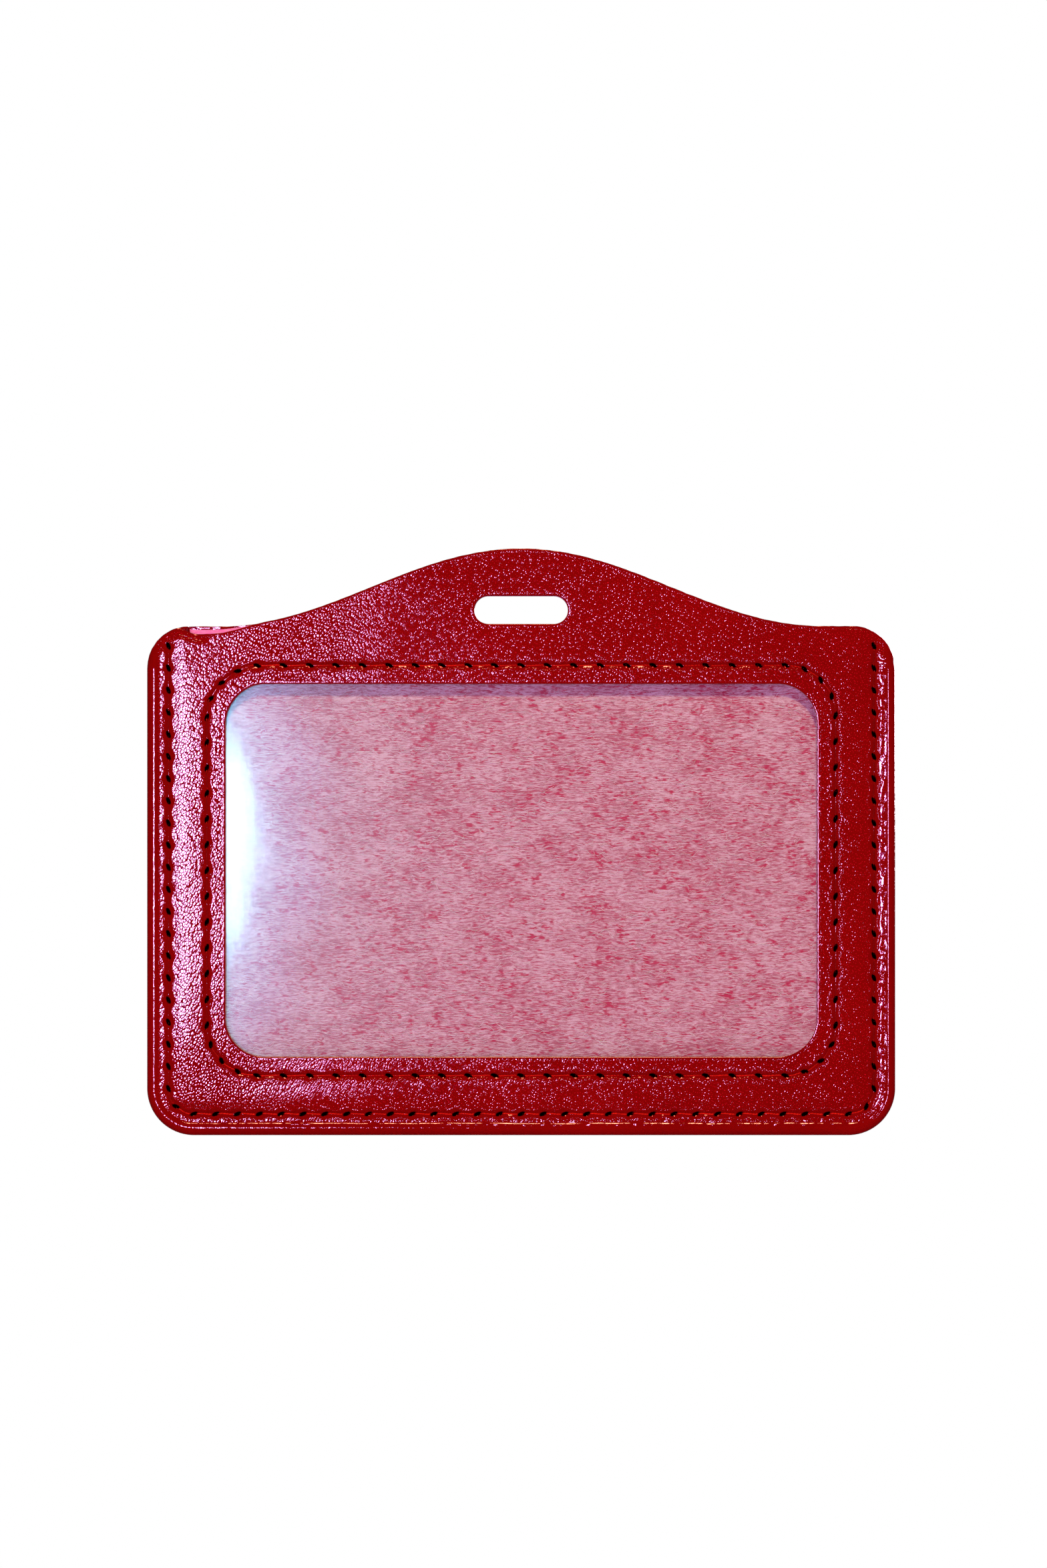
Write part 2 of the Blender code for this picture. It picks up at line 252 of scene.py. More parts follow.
class Seam:
    """Distances along a seam and the number of stitches made by then, from its runs in order.

    A run is its length and its number of stitches.
    """

    def __init__(self, runs):
        lengths, stitches = zip(*runs)
        self.distances = np.concatenate([[0], np.cumsum(lengths)])
        self.counts = np.concatenate([[0], np.cumsum(stitches)]).astype(float)
        self.length = self.distances[-1]

    def stitch_at(self, along):
        return np.interp(along, self.distances, self.counts)

    def distance_at(self, stitch):
        return np.interp(stitch, self.counts, self.distances)

    def past_hole(self, along):
        """Signed distance along the seam from the nearest needle hole."""
        return along - self.distance_at(np.round(self.stitch_at(along)))

    def pull(self, along):
        """How hard the stitches pull here: 1 at a hole, 0 midway between two."""
        return np.cos(math.pi * self.stitch_at(along)) ** 2

    def columns(self, low, high):
        """Distances between two places, close together at the holes and wider apart between them."""
        first, last = self.stitch_at(np.array([low, high]))
        count = round((last - first) * columns_per_stitch)
        stitch = first + (last - first) * np.arange(count) / count
        return self.distance_at(stitch - column_crowding * np.sin(2 * math.pi * stitch))


edge_seam_radius = foot_radius - edge_seam_inset
edge_seam_side = edge_seam_top_z - foot_centre_z
edge_seam_corner = edge_seam_radius * math.pi / 2
edge_half = [(edge_seam_side, stitches_side), (edge_seam_corner, stitches_foot_corner)]
edge_seam = Seam([*edge_half, (2 * foot_centre_x, stitches_foot), *edge_half[::-1]])
window_seam_corner = window_seam_radius * math.pi / 2
window_half = [
    (2 * seam_straight_z, stitches_window_high),
    (window_seam_corner, stitches_window_corner),
    (2 * seam_straight_x, stitches_window_wide),
    (window_seam_corner, stitches_window_corner),
]
window_seam = Seam(window_half * 2)


def along_edge_seam(x, z):
    """Distance along the edge seam of the point nearest to each place, from its top left end."""
    across = np.abs(x) - foot_centre_x
    down = foot_centre_z - z
    turn = np.arctan2(np.maximum(down, 0), np.maximum(across, 1e-9))
    corner = edge_seam_side + edge_seam_radius * turn
    side = edge_seam_top_z - z
    foot = edge_seam_side + edge_seam_corner - across
    nearer = np.where(across > down, side, foot)
    half = np.where((across > 0) & (down > 0), corner, nearer)
    return np.where(x < 0, half, edge_seam.length - half)


def along_window_seam(x, z):
    """Distance along the window seam, anticlockwise from the top of its left side.

    The right side and the top follow the left side and the foot, half a turn round.
    """
    up = z - seam_middle_z
    out_x = np.abs(x) - seam_straight_x
    out_z = np.abs(up) - seam_straight_z
    in_corner = (out_x > 0) & (out_z > 0)
    on_side = ~in_corner & (out_x > out_z)
    rising = x * up > 0
    turned = np.where(in_corner, np.where(rising, x > 0, x < 0), np.where(on_side, x > 0, up > 0))
    sign = np.where(turned, -1, 1)
    x, up = sign * x, sign * up
    side = seam_straight_z - up
    foot = 2 * seam_straight_z + window_seam_corner + x + seam_straight_x
    turn = np.arctan2(np.maximum(out_z, 0), np.maximum(out_x, 1e-9))
    left_corner = 2 * seam_straight_z + window_seam_radius * turn
    right_start = 2 * seam_straight_z + window_seam_corner + 2 * seam_straight_x
    right_corner = right_start + window_seam_radius * (math.pi / 2 - turn)
    corner = np.where(x < 0, left_corner, right_corner)
    along = np.where(in_corner, corner, np.where(on_side, side, foot))
    return along + np.where(turned, window_seam.length / 2, 0)


def edge_seam_line(along):
    """Places on the edge seam and the direction inwards there, as (x, z) rows."""
    sign = np.where(along < edge_seam.length / 2, -1, 1)
    near = np.minimum(along, edge_seam.length - along)
    turn = np.clip((near - edge_seam_side) / edge_seam_radius, 0, math.pi / 2)
    past = np.maximum(near - edge_seam_side - edge_seam_corner, 0)
    above = np.maximum(edge_seam_side - near, 0)
    x = foot_centre_x + edge_seam_radius * np.cos(turn) - past
    z = foot_centre_z - edge_seam_radius * np.sin(turn) + above
    return np.column_stack([sign * x, z]), np.column_stack([-sign * np.cos(turn), np.sin(turn)])


def rectangle_line(share, half_x, low_z, high_z, radius):
    """Places on a rounded rectangle and the direction outwards there.

    share counts the runs passed from the top of the left side, anticlockwise: side, corner,
    foot, corner, side, corner, top, corner.
    """
    straight_x = half_x - radius
    straight_z = (high_z - low_z) / 2 - radius
    turned = share >= 4
    sign = np.where(turned, -1, 1)
    share = np.where(turned, share - 4, share)
    turn = np.clip(share - 1, 0, 1) + np.clip(share - 3, 0, 1)
    angle = math.pi + turn * math.pi / 2
    centre_x = straight_x * (2 * np.clip(share - 2, 0, 1) - 1)
    centre_z = straight_z * (1 - 2 * np.clip(share, 0, 1))
    outward = np.column_stack([sign * np.cos(angle), sign * np.sin(angle)])
    centre = np.column_stack([sign * centre_x, sign * centre_z + (low_z + high_z) / 2])
    return centre + radius * outward, outward


def window_seam_line(along):
    """Places on the window seam and the direction outwards there, as (x, z) rows."""
    runs = np.interp(along, window_seam.distances, np.arange(9))
    return rectangle_line(runs, *seam_rectangle)


# The depth of a panel under its box, its grain and its holes


def valley_width_share(seam, along):
    """Width of a seam's valley, as a share of its width at the holes."""
    return valley_narrow_share + (1 - valley_narrow_share) * seam.pull(along) ** 1.5


def valley_floor(reach):
    """How deep a seam pulls the sheet in, the same all along it."""
    return valley_floor_share * valley_slope * reach


def valley_smoothness(seam, outwards):
    """How smooth the pulled sheet is, where outwards is 1 at the valley's rim.

    Beside the window seam a low plateau lets some grain stay on the rims.
    """
    if seam is edge_seam:
        return 1 - smooth_step(0.8, 1.25, outwards)
    plateau = rim_smoothness - rim_smoothness * smooth_step(1.1, 1.4, outwards)
    return np.maximum(1 - smooth_step(0.4, 0.65, outwards), plateau)


def seam_valley(seam, along, across, reach):
    """Depth, smoothness and a hole mask that a seam gives to the sheet around it; the coat paints shade
    into the holes by this mask.

    A valley with straight sloping walls is widest at each hole, and a slanting slit is the hole
    itself. The valley fades out past the ends of an open seam.
    """
    inside = np.clip(along, 0, seam.length)
    ends = 1 - smooth_step(0, reach, np.abs(along - inside))
    width = reach * valley_width_share(seam, inside)
    width = width + valley_wobble * waves(along, across * 0, valley_wobble_lengths, 3)
    wall = np.clip(1 - np.abs(across) / width, 0, 1)
    wall_depth = wall**2 * (1 + valley_rounding) / (wall + valley_rounding)
    valley = valley_floor(reach) * wall_depth * ends
    past = along - seam.distance_at(np.round(seam.stitch_at(inside)))
    slanted = across - hole_slant * past
    radius = np.hypot(past / hole_half_length, slanted / hole_half_width)
    hole = 1 - smooth_step(hole_rim_start, hole_rim_end, radius)
    pit = hole_depth * hole * np.clip(0.5 + past / (1.5 * hole_half_length), 0, 1)
    smooth = valley_smoothness(seam, np.abs(across) / width) * ends
    return valley + pit, smooth, hole


def bead_depth(inset, rightwards):
    """A round bead: a circle's depth over the inset, which falls off faster on the right."""
    from_crest = 1 - np.clip(inset / crest_inset, 0, 2)
    bead = bead_radius * (1 - np.sqrt(np.maximum(1 - from_crest**2, 0)))
    return bead + bead_right_slope * np.clip(inset - crest_inset, 0, None) * rightwards


def sheet_depth(inset, rippled, rightwards, footwards):
    """The flat sheet with the trough beside the bead: a smooth fall, then a slow return.

    Under the bead the sheet dives steeply, so that only the bead is left there.
    """
    start = trough_start + trough_foot_delay * footwards
    start = start + trough_right_delay * rightwards * (1 - footwards)
    reach = trough_reach + (trough_right_reach - trough_reach) * rightwards
    reach = reach + (trough_foot_reach - reach) * footwards
    fall = trough_depth + (trough_right_depth - trough_depth) * rightwards
    fall = fall + (trough_foot_depth - fall) * footwards + trough_rim
    falling = smooth_step(start, start + reach, rippled)
    rising = smooth_step(trough_end, trough_end + trough_return, inset)
    sheet = face_drop - trough_rim + fall * falling * (1 - rising) + trough_rim * rising
    return sheet + under_bead_slope * np.clip(crest_inset - inset, 0, None)


def shoulder_slope(x, z):
    """Extra depth near a shoulder's arc: an even slope down to the arc, only at the shoulder."""
    across = np.maximum(np.abs(x) - shoulder_centre_x, 0)
    from_arc = shoulder_radius - np.hypot(across, np.maximum(z - shoulder_centre_z, 0))
    at_shoulder = smooth_step(*shoulder_zone_x, np.abs(x)) * smooth_step(*shoulder_zone_z, z)
    rise = np.clip(shoulder_slope_reach - from_arc, 0, None)
    return shoulder_slope_share * rise * at_shoulder


def face_depth(x, z, side):
    """Depth of the face below the box, how much grain it keeps, and a hole mask, by which the coat
    paints shade into its needle holes.

    The lesser of the bead's depth and the sheet's, plus dents, swells and the seams' valleys.
    """
    inset = inset_of(x, z)
    along = along_edge_seam(x, z)
    rightwards = smooth_step(-right_change, right_change, x)
    footwards = smooth_step(foot_z + foot_zone_start, foot_z + foot_zone_full, z)
    ripples = waves(along, along * 0, ripple_lengths, 17 + side) * (1 - foot_ripple_loss * footwards)
    wobble = waves(along, along * 0, edge_wobble_lengths, 11 + side)
    rippled = inset - edge_wobble * wobble - ripple * ripples
    rounding = crease_rounding - foot_crease_sharpening * footwards
    sheet = sheet_depth(inset, rippled, rightwards, footwards)
    depth = soft_least(bead_depth(inset, rightwards), sheet, rounding)
    dents = waves(x, z, dent_lengths, 41 + side) * hump(dent_edges, inset)
    depth = depth + (right_dent * rightwards + foot_dent * footwards) * dents
    plain = smooth_step(crease_inset, 3 * crease_inset, inset)
    depth = depth + swell * plain * waves(x, z, swell_lengths, 5 + side)
    depth = depth + shoulder_slope(x, z)
    valley, smooth, hole = seam_valley(edge_seam, along, inset - edge_seam_inset, edge_valley_reach)
    grain_start = crease_inset + foot_grain_delay * footwards
    grain = smooth_step(grain_start, grain_start + grain_reach, inset) * (1 - smooth)
    depth = depth + valley
    if side == FRONT:
        along = along_window_seam(x, z)
        across = outside_rectangle(x, z, *seam_rectangle)
        valley, smooth, second_hole = seam_valley(window_seam, along, across, window_valley_reach)
        margin = outside_rectangle(x, z, *window_rectangle)
        lip = lip_depth * np.exp(-np.clip(margin, 0, None) / lip_reach)
        depth = depth + valley + lip
        grain = grain * (1 - smooth) * smooth_step(*lip_grain, margin)
        hole = np.maximum(hole, second_hole)
    return depth, grain, hole


def inner_depth(x, z):
    """Depth of the sheet's inner side: round the bead, along the hem's flange, then the sheet."""
    inset = inset_of(x, z)
    bead_inset = np.clip(inset, 0, bead_radius)
    bead = bead_radius + np.sqrt(np.maximum(bead_radius**2 - (bead_radius - bead_inset) ** 2, 0))
    step = smooth_step(hem_width - hem_step_reach, hem_width + hem_step_reach, inset)
    return bead + (face_drop + coat_thickness - bead) * step


# Rings and webs


def ring_faces(rows, columns, start, outward_rows=False):
    """Quads between closed rings, facing the front where the rings run anticlockwise and inwards."""
    row = np.arange(rows - 1)[:, None] * columns
    column = np.arange(columns)[None, :]
    after = (column + 1) % columns
    inner = row + columns
    quads = np.stack([row + column, row + after, inner + after, inner + column], 2)
    quads = quads.reshape(-1, 4) + start
    return quads[:, ::-1] if outward_rows else quads


def loop_edges(first, count):
    """Pairs of neighbouring points round a closed loop."""
    index = np.arange(count)
    return np.column_stack([first + index, first + (index + 1) % count])


def loop_wall(loop, offset):
    """Quads between a loop of points and the same loop in a second skin, offset numbers on."""
    after = np.roll(loop, -1)
    return np.column_stack([loop, loop + offset, after + offset, after])


def at_depth(spots, y):
    """Flat (x, z) places given a y each, as rows of points."""
    return np.column_stack([spots[..., 0].ravel(), np.ravel(y), spots[..., 1].ravel()])


def web(loops, spacing, inside, lines=()):
    """A flat net of triangles between closed loops, with a slanting lattice of points inside it.

    Returns the lattice's points and the triangles, which number the loops' points first.
    """
    loop_points = np.concatenate(loops)
    low, high = loop_points.min(0), loop_points.max(0)
    across = np.arange(low[0], high[0], spacing)
    up = np.arange(low[1], high[1], spacing * 0.87)
    x, z = np.meshgrid(across, up)
    x = x + spacing / 2 * (np.arange(len(up))[:, None] % 2)
    lattice = np.column_stack([x.ravel(), z.ravel()])
    lattice = lattice[inside(lattice[:, 0], lattice[:, 1]) > spacing * 0.6]
    starts = np.cumsum([0] + [len(loop) for loop in loops])
    edges = [loop_edges(first, len(loop)) for first, loop in zip(starts, loops)]
    count = len(loop_points) + len(lattice)
    for line in lines:
        index = np.arange(len(line) - 1) + count
        edges.append(np.column_stack([index, index + 1]))
        count += len(line)
    points = np.concatenate([loop_points, lattice, *lines])
    found = delaunay_2d_cdt(points.tolist(), np.concatenate(edges).tolist(), [], 1, 1e-9)
    triangles = np.array([face for face in found[2] if len(face) == 3])
    source = np.array([ids[0] for ids in found[3]])
    triangles = source[triangles]
    middle = points[triangles].mean(1)
    triangles = triangles[inside(middle[:, 0], middle[:, 1]) > 0]
    return points[len(loop_points):], triangles


def make_piece(name, slot, material, points, quads, triangles=None, **attributes):
    """A smooth mesh at the origin from whole arrays of points and faces, riding the root body."""
    triangles = np.zeros((0, 3), int) if triangles is None else triangles
    corners = np.concatenate([quads.ravel(), triangles.ravel()])
    sizes = np.concatenate([np.full(len(quads), 4), np.full(len(triangles), 3)])
    mesh = bpy.data.meshes.new(name)
    mesh.vertices.add(len(points))
    mesh.vertices.foreach_set("co", np.asarray(points, float).ravel())
    mesh.loops.add(len(corners))
    mesh.loops.foreach_set("vertex_index", corners.astype(np.int32))
    mesh.polygons.add(len(sizes))
    mesh.polygons.foreach_set("loop_start", (np.cumsum(sizes) - sizes).astype(np.int32))
    mesh.polygons.foreach_set("use_smooth", np.ones(len(sizes), bool))
    mesh.update(calc_edges=True)
    for label, values in attributes.items():
        layer = mesh.attributes.new(label, "FLOAT", "POINT")
        layer.data.foreach_set("value", np.asarray(values, np.float32))
    mesh.validate()
    obj = bpy.data.objects.new(name, mesh)
    bpy.context.collection.objects.link(obj)
    mesh.materials.append(material)
    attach(obj, "root")
    return obj


# A panel's rings, from its inner side round the edge to the face

turned_edge = np.radians([-90, -60, -32, -12, 0, 12, 24, 36, 48, 61, 75, 90])
turned_edge_insets = bead_radius * (1 - np.cos(turned_edge))
cut_edge_insets = np.array([0.85, 0.4, 0.06, 0.0, 0.0, 0.0, 0.02, 0.07, 0.16, 0.32, 0.58, 0.85]) * MM
cut_edge_drops = np.array([0, 0, 0, 0, 0, 0.16, 0.09, 0.035, 0.01, 0, 0, 0]) * MM
edge_face_shares = np.array([0, 0, 0, 0, 0.5, 1, 1, 1, 1, 1, 1, 1])
past_crest = np.array([1.0, 1.1, 1.18, 1.28, 1.42, 1.55, 1.66, 1.75, 1.83, 1.92, 2.08]) * MM
across_valley = np.linspace(2.27, 4.13, 17) * MM
edge_band_end = np.array([4.3, 4.6, 5.0]) * MM
cut_grain = [0.25 * MM, 0.5 * MM]
ragged_inset = 0.2 * MM
wave_band_share = 0.45
wave_band_ends = [42 * MM, 48 * MM]
wave_slope_share = 0.96
web_slack = 0.05 * MM
hem_line_reach = 0.06 * MM
shoulder_columns = 44
wave_columns = 320


def band_narrowing(x):
    """The width of the rings under the cut edge, as a share: narrow below the wave."""
    return wave_band_share + (1 - wave_band_share) * smooth_step(*wave_band_ends, np.abs(x))


def panel_outline():
    """Columns round the silhouette: places, inward directions and 1 where the edge is die cut.

    They go down the left side, along the foot, up the right side and back over the wave.
    """
    low = edge_seam_top_z - shoulder_centre_z
    along = edge_seam.columns(low, edge_seam.length - low)
    seam_places, inward = edge_seam_line(along)
    folded = seam_places - edge_seam_inset * inward
    turn = math.pi / 2 * (np.arange(shoulder_columns) + 0.5) / shoulder_columns
    arc = np.column_stack([np.cos(turn), np.sin(turn)])
    right = arc * shoulder_radius + [shoulder_centre_x, shoulder_centre_z]
    x = shoulder_centre_x * np.linspace(1, -1, wave_columns)
    slope = np.gradient(top_edge_z(x), x)
    down = np.column_stack([slope, -np.ones_like(x)]) / np.hypot(slope, 1)[:, None]
    wave = np.column_stack([x, top_edge_z(x)])
    mirror = np.array([-1, 1])
    places = np.vstack([folded, right, wave, right[::-1] * mirror])
    inwards = np.vstack([inward, -arc, down, -arc[::-1] * mirror])
    cut = np.concatenate([np.zeros(len(folded)), np.ones(len(right) * 2 + len(x))])
    return places, inwards, cut


def edge_band(side):
    """Rings round the panel: its bead or cut edge, the crease and the edge seam's valley."""
    places, inwards, cut = panel_outline()
    further = np.concatenate([past_crest, across_valley, edge_band_end])
    folded_insets = np.concatenate([turned_edge_insets, further])
    narrow = np.where(cut > 0, band_narrowing(places[:, 0]), 1.0)
    cut_insets = np.concatenate([cut_edge_insets, further])[:, None]
    beyond = np.maximum(cut_insets - bead_radius, 0) * narrow
    cut_insets = np.minimum(cut_insets, bead_radius) + beyond
    drops = np.concatenate([cut_edge_drops, np.zeros_like(further)])
    shares = np.concatenate([edge_face_shares, np.ones_like(further)])
    insets = folded_insets[:, None] * (1 - cut) + cut_insets * cut
    spots = places[None] + insets[:, :, None] * inwards[None]
    x, z = spots[..., 0], spots[..., 1]
    face, grain, hole = face_depth(x, z, side)
    ragged = cut * cut_wobble * np.abs(waves(x, z, cut_wobble_lengths, 8 + side))
    face = face + drops[:, None] * cut
    depth = shares[:, None] * face + (1 - shares[:, None]) * np.maximum(inner_depth(x, z), face)
    from_cut = np.where(cut > 0, insets, 1.0)
    grain = grain * smooth_step(*cut_grain, from_cut) * (shares[:, None] == 1)
    spots = spots + (ragged * (insets < ragged_inset))[:, :, None] * inwards[None]
    return spots, depth, grain, hole


window_insets = np.array([0, 0, 0, 0.02, 0.07, 0.15, 0.27, 0.42, 0.62, 0.9, 1.25, 1.55, 1.74]) * MM
window_drops = np.array([0.6, 0.38, 0.14, 0.06, 0.02, 0, 0, 0, 0, 0, 0, 0, 0]) * MM
window_valley = np.linspace(1.82, 3.78, 17) * MM
window_band_end = np.array([3.85, 4.15, 4.55, 5.0]) * MM
window_wall_step = 0.22 * MM


def window_band():
    """Rings round the window: its cut wall, its rounded lip and the window seam's valley."""
    along = window_seam.columns(0, window_seam.length)
    seam_places, outwards = window_seam_line(along)
    runs = np.interp(along, window_seam.distances, np.arange(9))
    edge, _ = rectangle_line(runs, *window_rectangle)
    margins = np.concatenate([window_insets, window_valley, window_band_end])
    share = np.minimum(margins / window_seam_margin, 1)[:, None, None]
    past = np.maximum(margins - window_seam_margin, 0)[:, None, None]
    spots = edge + share * (seam_places - edge) + past * outwards
    depth, grain, hole = face_depth(spots[..., 0], spots[..., 1], FRONT)
    drops = np.concatenate([window_drops, np.zeros(len(window_valley) + len(window_band_end))])
    depth = depth + drops[:, None]
    depth[0] = face_drop + coat_thickness
    depth[1] = face_drop + coat_thickness - window_wall_step
    return spots, depth, grain, hole


slot_insets = np.array([0, 0, 0, 0.02, 0.07, 0.16, 0.3, 0.55, 0.9, 1.3]) * MM
slot_drops = np.array([0.6, 0.35, 0.14, 0.06, 0.02, 0, 0, 0, 0, 0]) * MM
slot_grain = [0.2 * MM, 0.5 * MM]
slot_press = 0.05 * MM
slot_press_reach = 0.4 * MM


def slot_line(columns=120):
    """The slot's outline and outward directions, anticlockwise from the left end of its foot."""
    arc = slot_radius * math.pi
    straight = 2 * slot_half_straight
    along = 2 * (arc + straight) * np.arange(columns) / columns
    turned = along >= arc + straight
    sign = np.where(turned, -1, 1)
    along = np.where(turned, along - arc - straight, along)
    angle = -math.pi / 2 + np.clip((along - straight) / slot_radius, 0, math.pi)
    outward = np.column_stack([sign * np.cos(angle), sign * np.sin(angle)])
    centre = np.column_stack([sign * (np.minimum(along, straight) - slot_half_straight), along * 0])
    return centre + slot_radius * outward, outward


def slot_band(side):
    """Rings round the lanyard slot: its punched wall and a slightly pressed-in rim."""
    places, outwards = slot_line()
    spots = places + slot_insets[:, None, None] * outwards
    depth, grain, hole = face_depth(spots[..., 0], spots[..., 1], side)
    pressed = slot_press * np.exp(-slot_insets / slot_press_reach)
    depth = depth + slot_drops[:, None] + pressed[:, None]
    depth[0] = face_drop + coat_thickness
    grain = grain * smooth_step(*slot_grain, slot_insets)[:, None]
    return spots, depth, grain, hole


def lowered_corner(x, z):
    """How far the front sheet's top left corner has shrunk below the back sheet's.

    A smooth rise and fall along x, which fades as an exponential below the top edge.
    """
    near = np.exp(-np.clip(top_edge_z(x) - z, 0, None) / corner_drop_height)
    return corner_drop * hump(corner_drop_edges, x) * near


def face_clearance(x, z, side):
    """How far inside the field of the face's web a place lies: clear of every band's last ring."""
    band_end = edge_band_end[-1]
    clear = outside_slot(x, z) - slot_insets[-1]
    if side == FRONT:
        past_seam = outside_rectangle(x, z, *seam_rectangle) + window_seam_margin
        clear = np.minimum(clear, past_seam - window_band_end[-1])
    band = bead_radius + (band_end - bead_radius) * band_narrowing(x)
    below_wave = (top_edge_z(x) - z) * wave_slope_share
    within = np.minimum(inset_of(x, z) - band_end, below_wave - band)
    corner_x, corner_z = np.abs(x) - shoulder_centre_x, z - shoulder_centre_z
    corner = shoulder_radius - band_end - np.hypot(corner_x, corner_z)
    within = np.where((corner_x > 0) & (corner_z > 0), corner, within)
    return np.minimum(clear, within) + web_slack


def sheet_clearance(x, z, side, trim=0, slack=0):
    """How far inside a trimmed sheet a place lies: within its outline and clear of its openings."""
    clear = outside_slot(x, z)
    if side == FRONT:
        clear = np.minimum(clear, outside_rectangle(x, z, *window_rectangle))
    return np.minimum(clear, np.minimum(inset_of(x, z) - trim, top_edge_z(x) - z) + slack)


def hem_step_lines():
    """Two lines along the hem's inner step, which keep it sharp in the web."""
    seam_places, inward = edge_seam_line(np.linspace(0, edge_seam.length, 240))
    insets = [hem_width - hem_line_reach, hem_width + hem_line_reach]
    return [seam_places + (inset - edge_seam_inset) * inward for inset in insets]


def panel(name, side, material):
    """A panel's closed skin: its bands of rings, the web on its face and the web inside."""
    bands = [edge_band(side), slot_band(side)]
    if side == FRONT:
        bands.append(window_band())
    points, grains, holes, quads, firsts, lasts = [], [], [], [], [], []
    count = 0
    for number, (spots, depth, grain, hole) in enumerate(bands):
        rows, columns = depth.shape
        quads.append(ring_faces(rows, columns, count, number > 0))
        points.append(at_depth(spots, depth))
        grains.append(grain.ravel())
        holes.append(hole.ravel())
        firsts.append(count)
        lasts.append(count + (rows - 1) * columns)
        count += rows * columns

    def inner_values(x, z):
        """The inner side's depth, with no grain and no holes."""
        return inner_depth(x, z), np.zeros(len(x)), np.zeros(len(x))

    def fill(row, starts, spacing, clearance, values, lines=()):
        """The web between one ring of each band, whose points are added to the panel's."""
        loops = [spots[row] for spots, *_ in bands]
        extra, found = web(loops, spacing, lambda x, z: clearance(x, z, side), lines)
        numbers = [first + np.arange(len(loop)) for first, loop in zip(starts, loops)]
        numbers.append(sum(map(len, points)) + np.arange(len(extra)))
        depth, grain, hole = values(extra[:, 0], extra[:, 1])
        points.append(at_depth(extra, depth))
        grains.append(grain)
        holes.append(hole)
        return np.concatenate(numbers)[found]

    face = fill(-1, lasts, 1.1 * MM, face_clearance, lambda x, z: face_depth(x, z, side))
    inside = fill(0, firsts, 3.0 * MM, sheet_clearance, inner_values, hem_step_lines())
    points, grain, hole = np.concatenate(points), np.concatenate(grains), np.concatenate(holes)
    quads, triangles = np.concatenate(quads), np.concatenate([face, inside[:, ::-1]])
    if side == FRONT:
        points[:, 2] -= lowered_corner(points[:, 0], points[:, 2])
    else:
        quads, triangles = quads[:, ::-1], triangles[:, ::-1]
    points[:, 1] = side * (half_depth - points[:, 1])
    inner = (points[:, 1] * side < inner_depth_limit) & (grain == 0)
    inner = inner & (inset_of(points[:, 0], points[:, 2]) > inner_least_inset)
    return make_piece(
        name, "coat", material, points, quads, triangles, grain=grain, hole=hole, inner=inner
    )


# Threads

raised_upright = 0.01 * MM
ply_sides = 7
ply_turn_length = 0.9 * MM
ply_radius = 0.62 * thread_radius
ply_offset = 0.42 * thread_radius
places_per_stitch = 18
thread_sink = 0.03 * MM
thread_sidestep = 0.06 * MM
dive_depth = 0.6 * MM
dive_reach = 0.5 * MM


def unit(vectors):
    """Vectors scaled to length 1."""
    return vectors / np.linalg.norm(vectors, axis=-1, keepdims=True)


def tube_points(centres, first, second, radius, sides):
    """Rings round a path: a cosine of one unit vector across it plus a sine of the other."""
    angle = (2 * math.pi * np.arange(sides) / sides)[:, None]
    ring = np.cos(angle) * first[..., None, :] + np.sin(angle) * second[..., None, :]
    return centres[..., None, :] + radius * ring


def tube_faces(rows, sides, start, closed):
    """Quads round a tube, whose ends are left to cap_faces where it is open."""
    row = np.arange(rows if closed else rows - 1)[:, None]
    column = np.arange(sides)[None, :]
    here = row * sides
    next_ring = (row + 1) % rows * sides
    turn = (column + 1) % sides
    quads = np.stack([here + column, next_ring + column, next_ring + turn, here + turn], 2)
    return quads.reshape(-1, 4) + start


def cap_faces(rows, sides, start):
    """Triangles that close both ends of a tube."""
    k = np.arange(1, sides - 1)
    first = np.column_stack([k * 0, k, k + 1]) + start
    last = np.column_stack([k * 0, k + 1, k]) + start + (rows - 1) * sides
    return np.concatenate([first, last])


def twisted_thread(name, centres, across, closed, material):
    """Two plies twisted round a path, whose centres circle it opposite each other."""
    if closed:
        ahead = unit(np.roll(centres, -1, 0) - np.roll(centres, 1, 0))
    else:
        ahead = unit(np.gradient(centres, axis=0))
    across = unit(across - (across * ahead).sum(1)[:, None] * ahead)
    over = np.cross(ahead, across)
    after_last = centres[:1] if closed else centres[-1:]
    steps = np.linalg.norm(np.diff(centres, axis=0, append=after_last), axis=1)
    length = np.concatenate([[0], np.cumsum(steps)[:-1]])
    turns = max(round(steps.sum() / ply_turn_length), 1)
    twist = 2 * math.pi * turns * length / steps.sum()
    points, quads, caps = [], [], []
    for ply in range(2):
        angle = twist + math.pi * ply
        offset = np.cos(angle)[:, None] * across + np.sin(angle)[:, None] * over
        rings = tube_points(centres + ply_offset * offset, across, over, ply_radius, ply_sides)
        start = ply * len(centres) * ply_sides
        points.append(rings.reshape(-1, 3))
        quads.append(tube_faces(len(centres), ply_sides, start, closed))
        if not closed:
            caps.append(cap_faces(len(centres), ply_sides, start))
    points, quads = np.concatenate(points), np.concatenate(quads)
    triangles = np.concatenate(caps) if caps else None
    # How upright the thread runs, by which its colour is darkened as painted shade
    upright = np.tile(np.repeat(ahead[:, 2] ** 2, ply_sides), 2)
    return make_piece(name, "thread", material, points, quads, triangles, upright=upright)


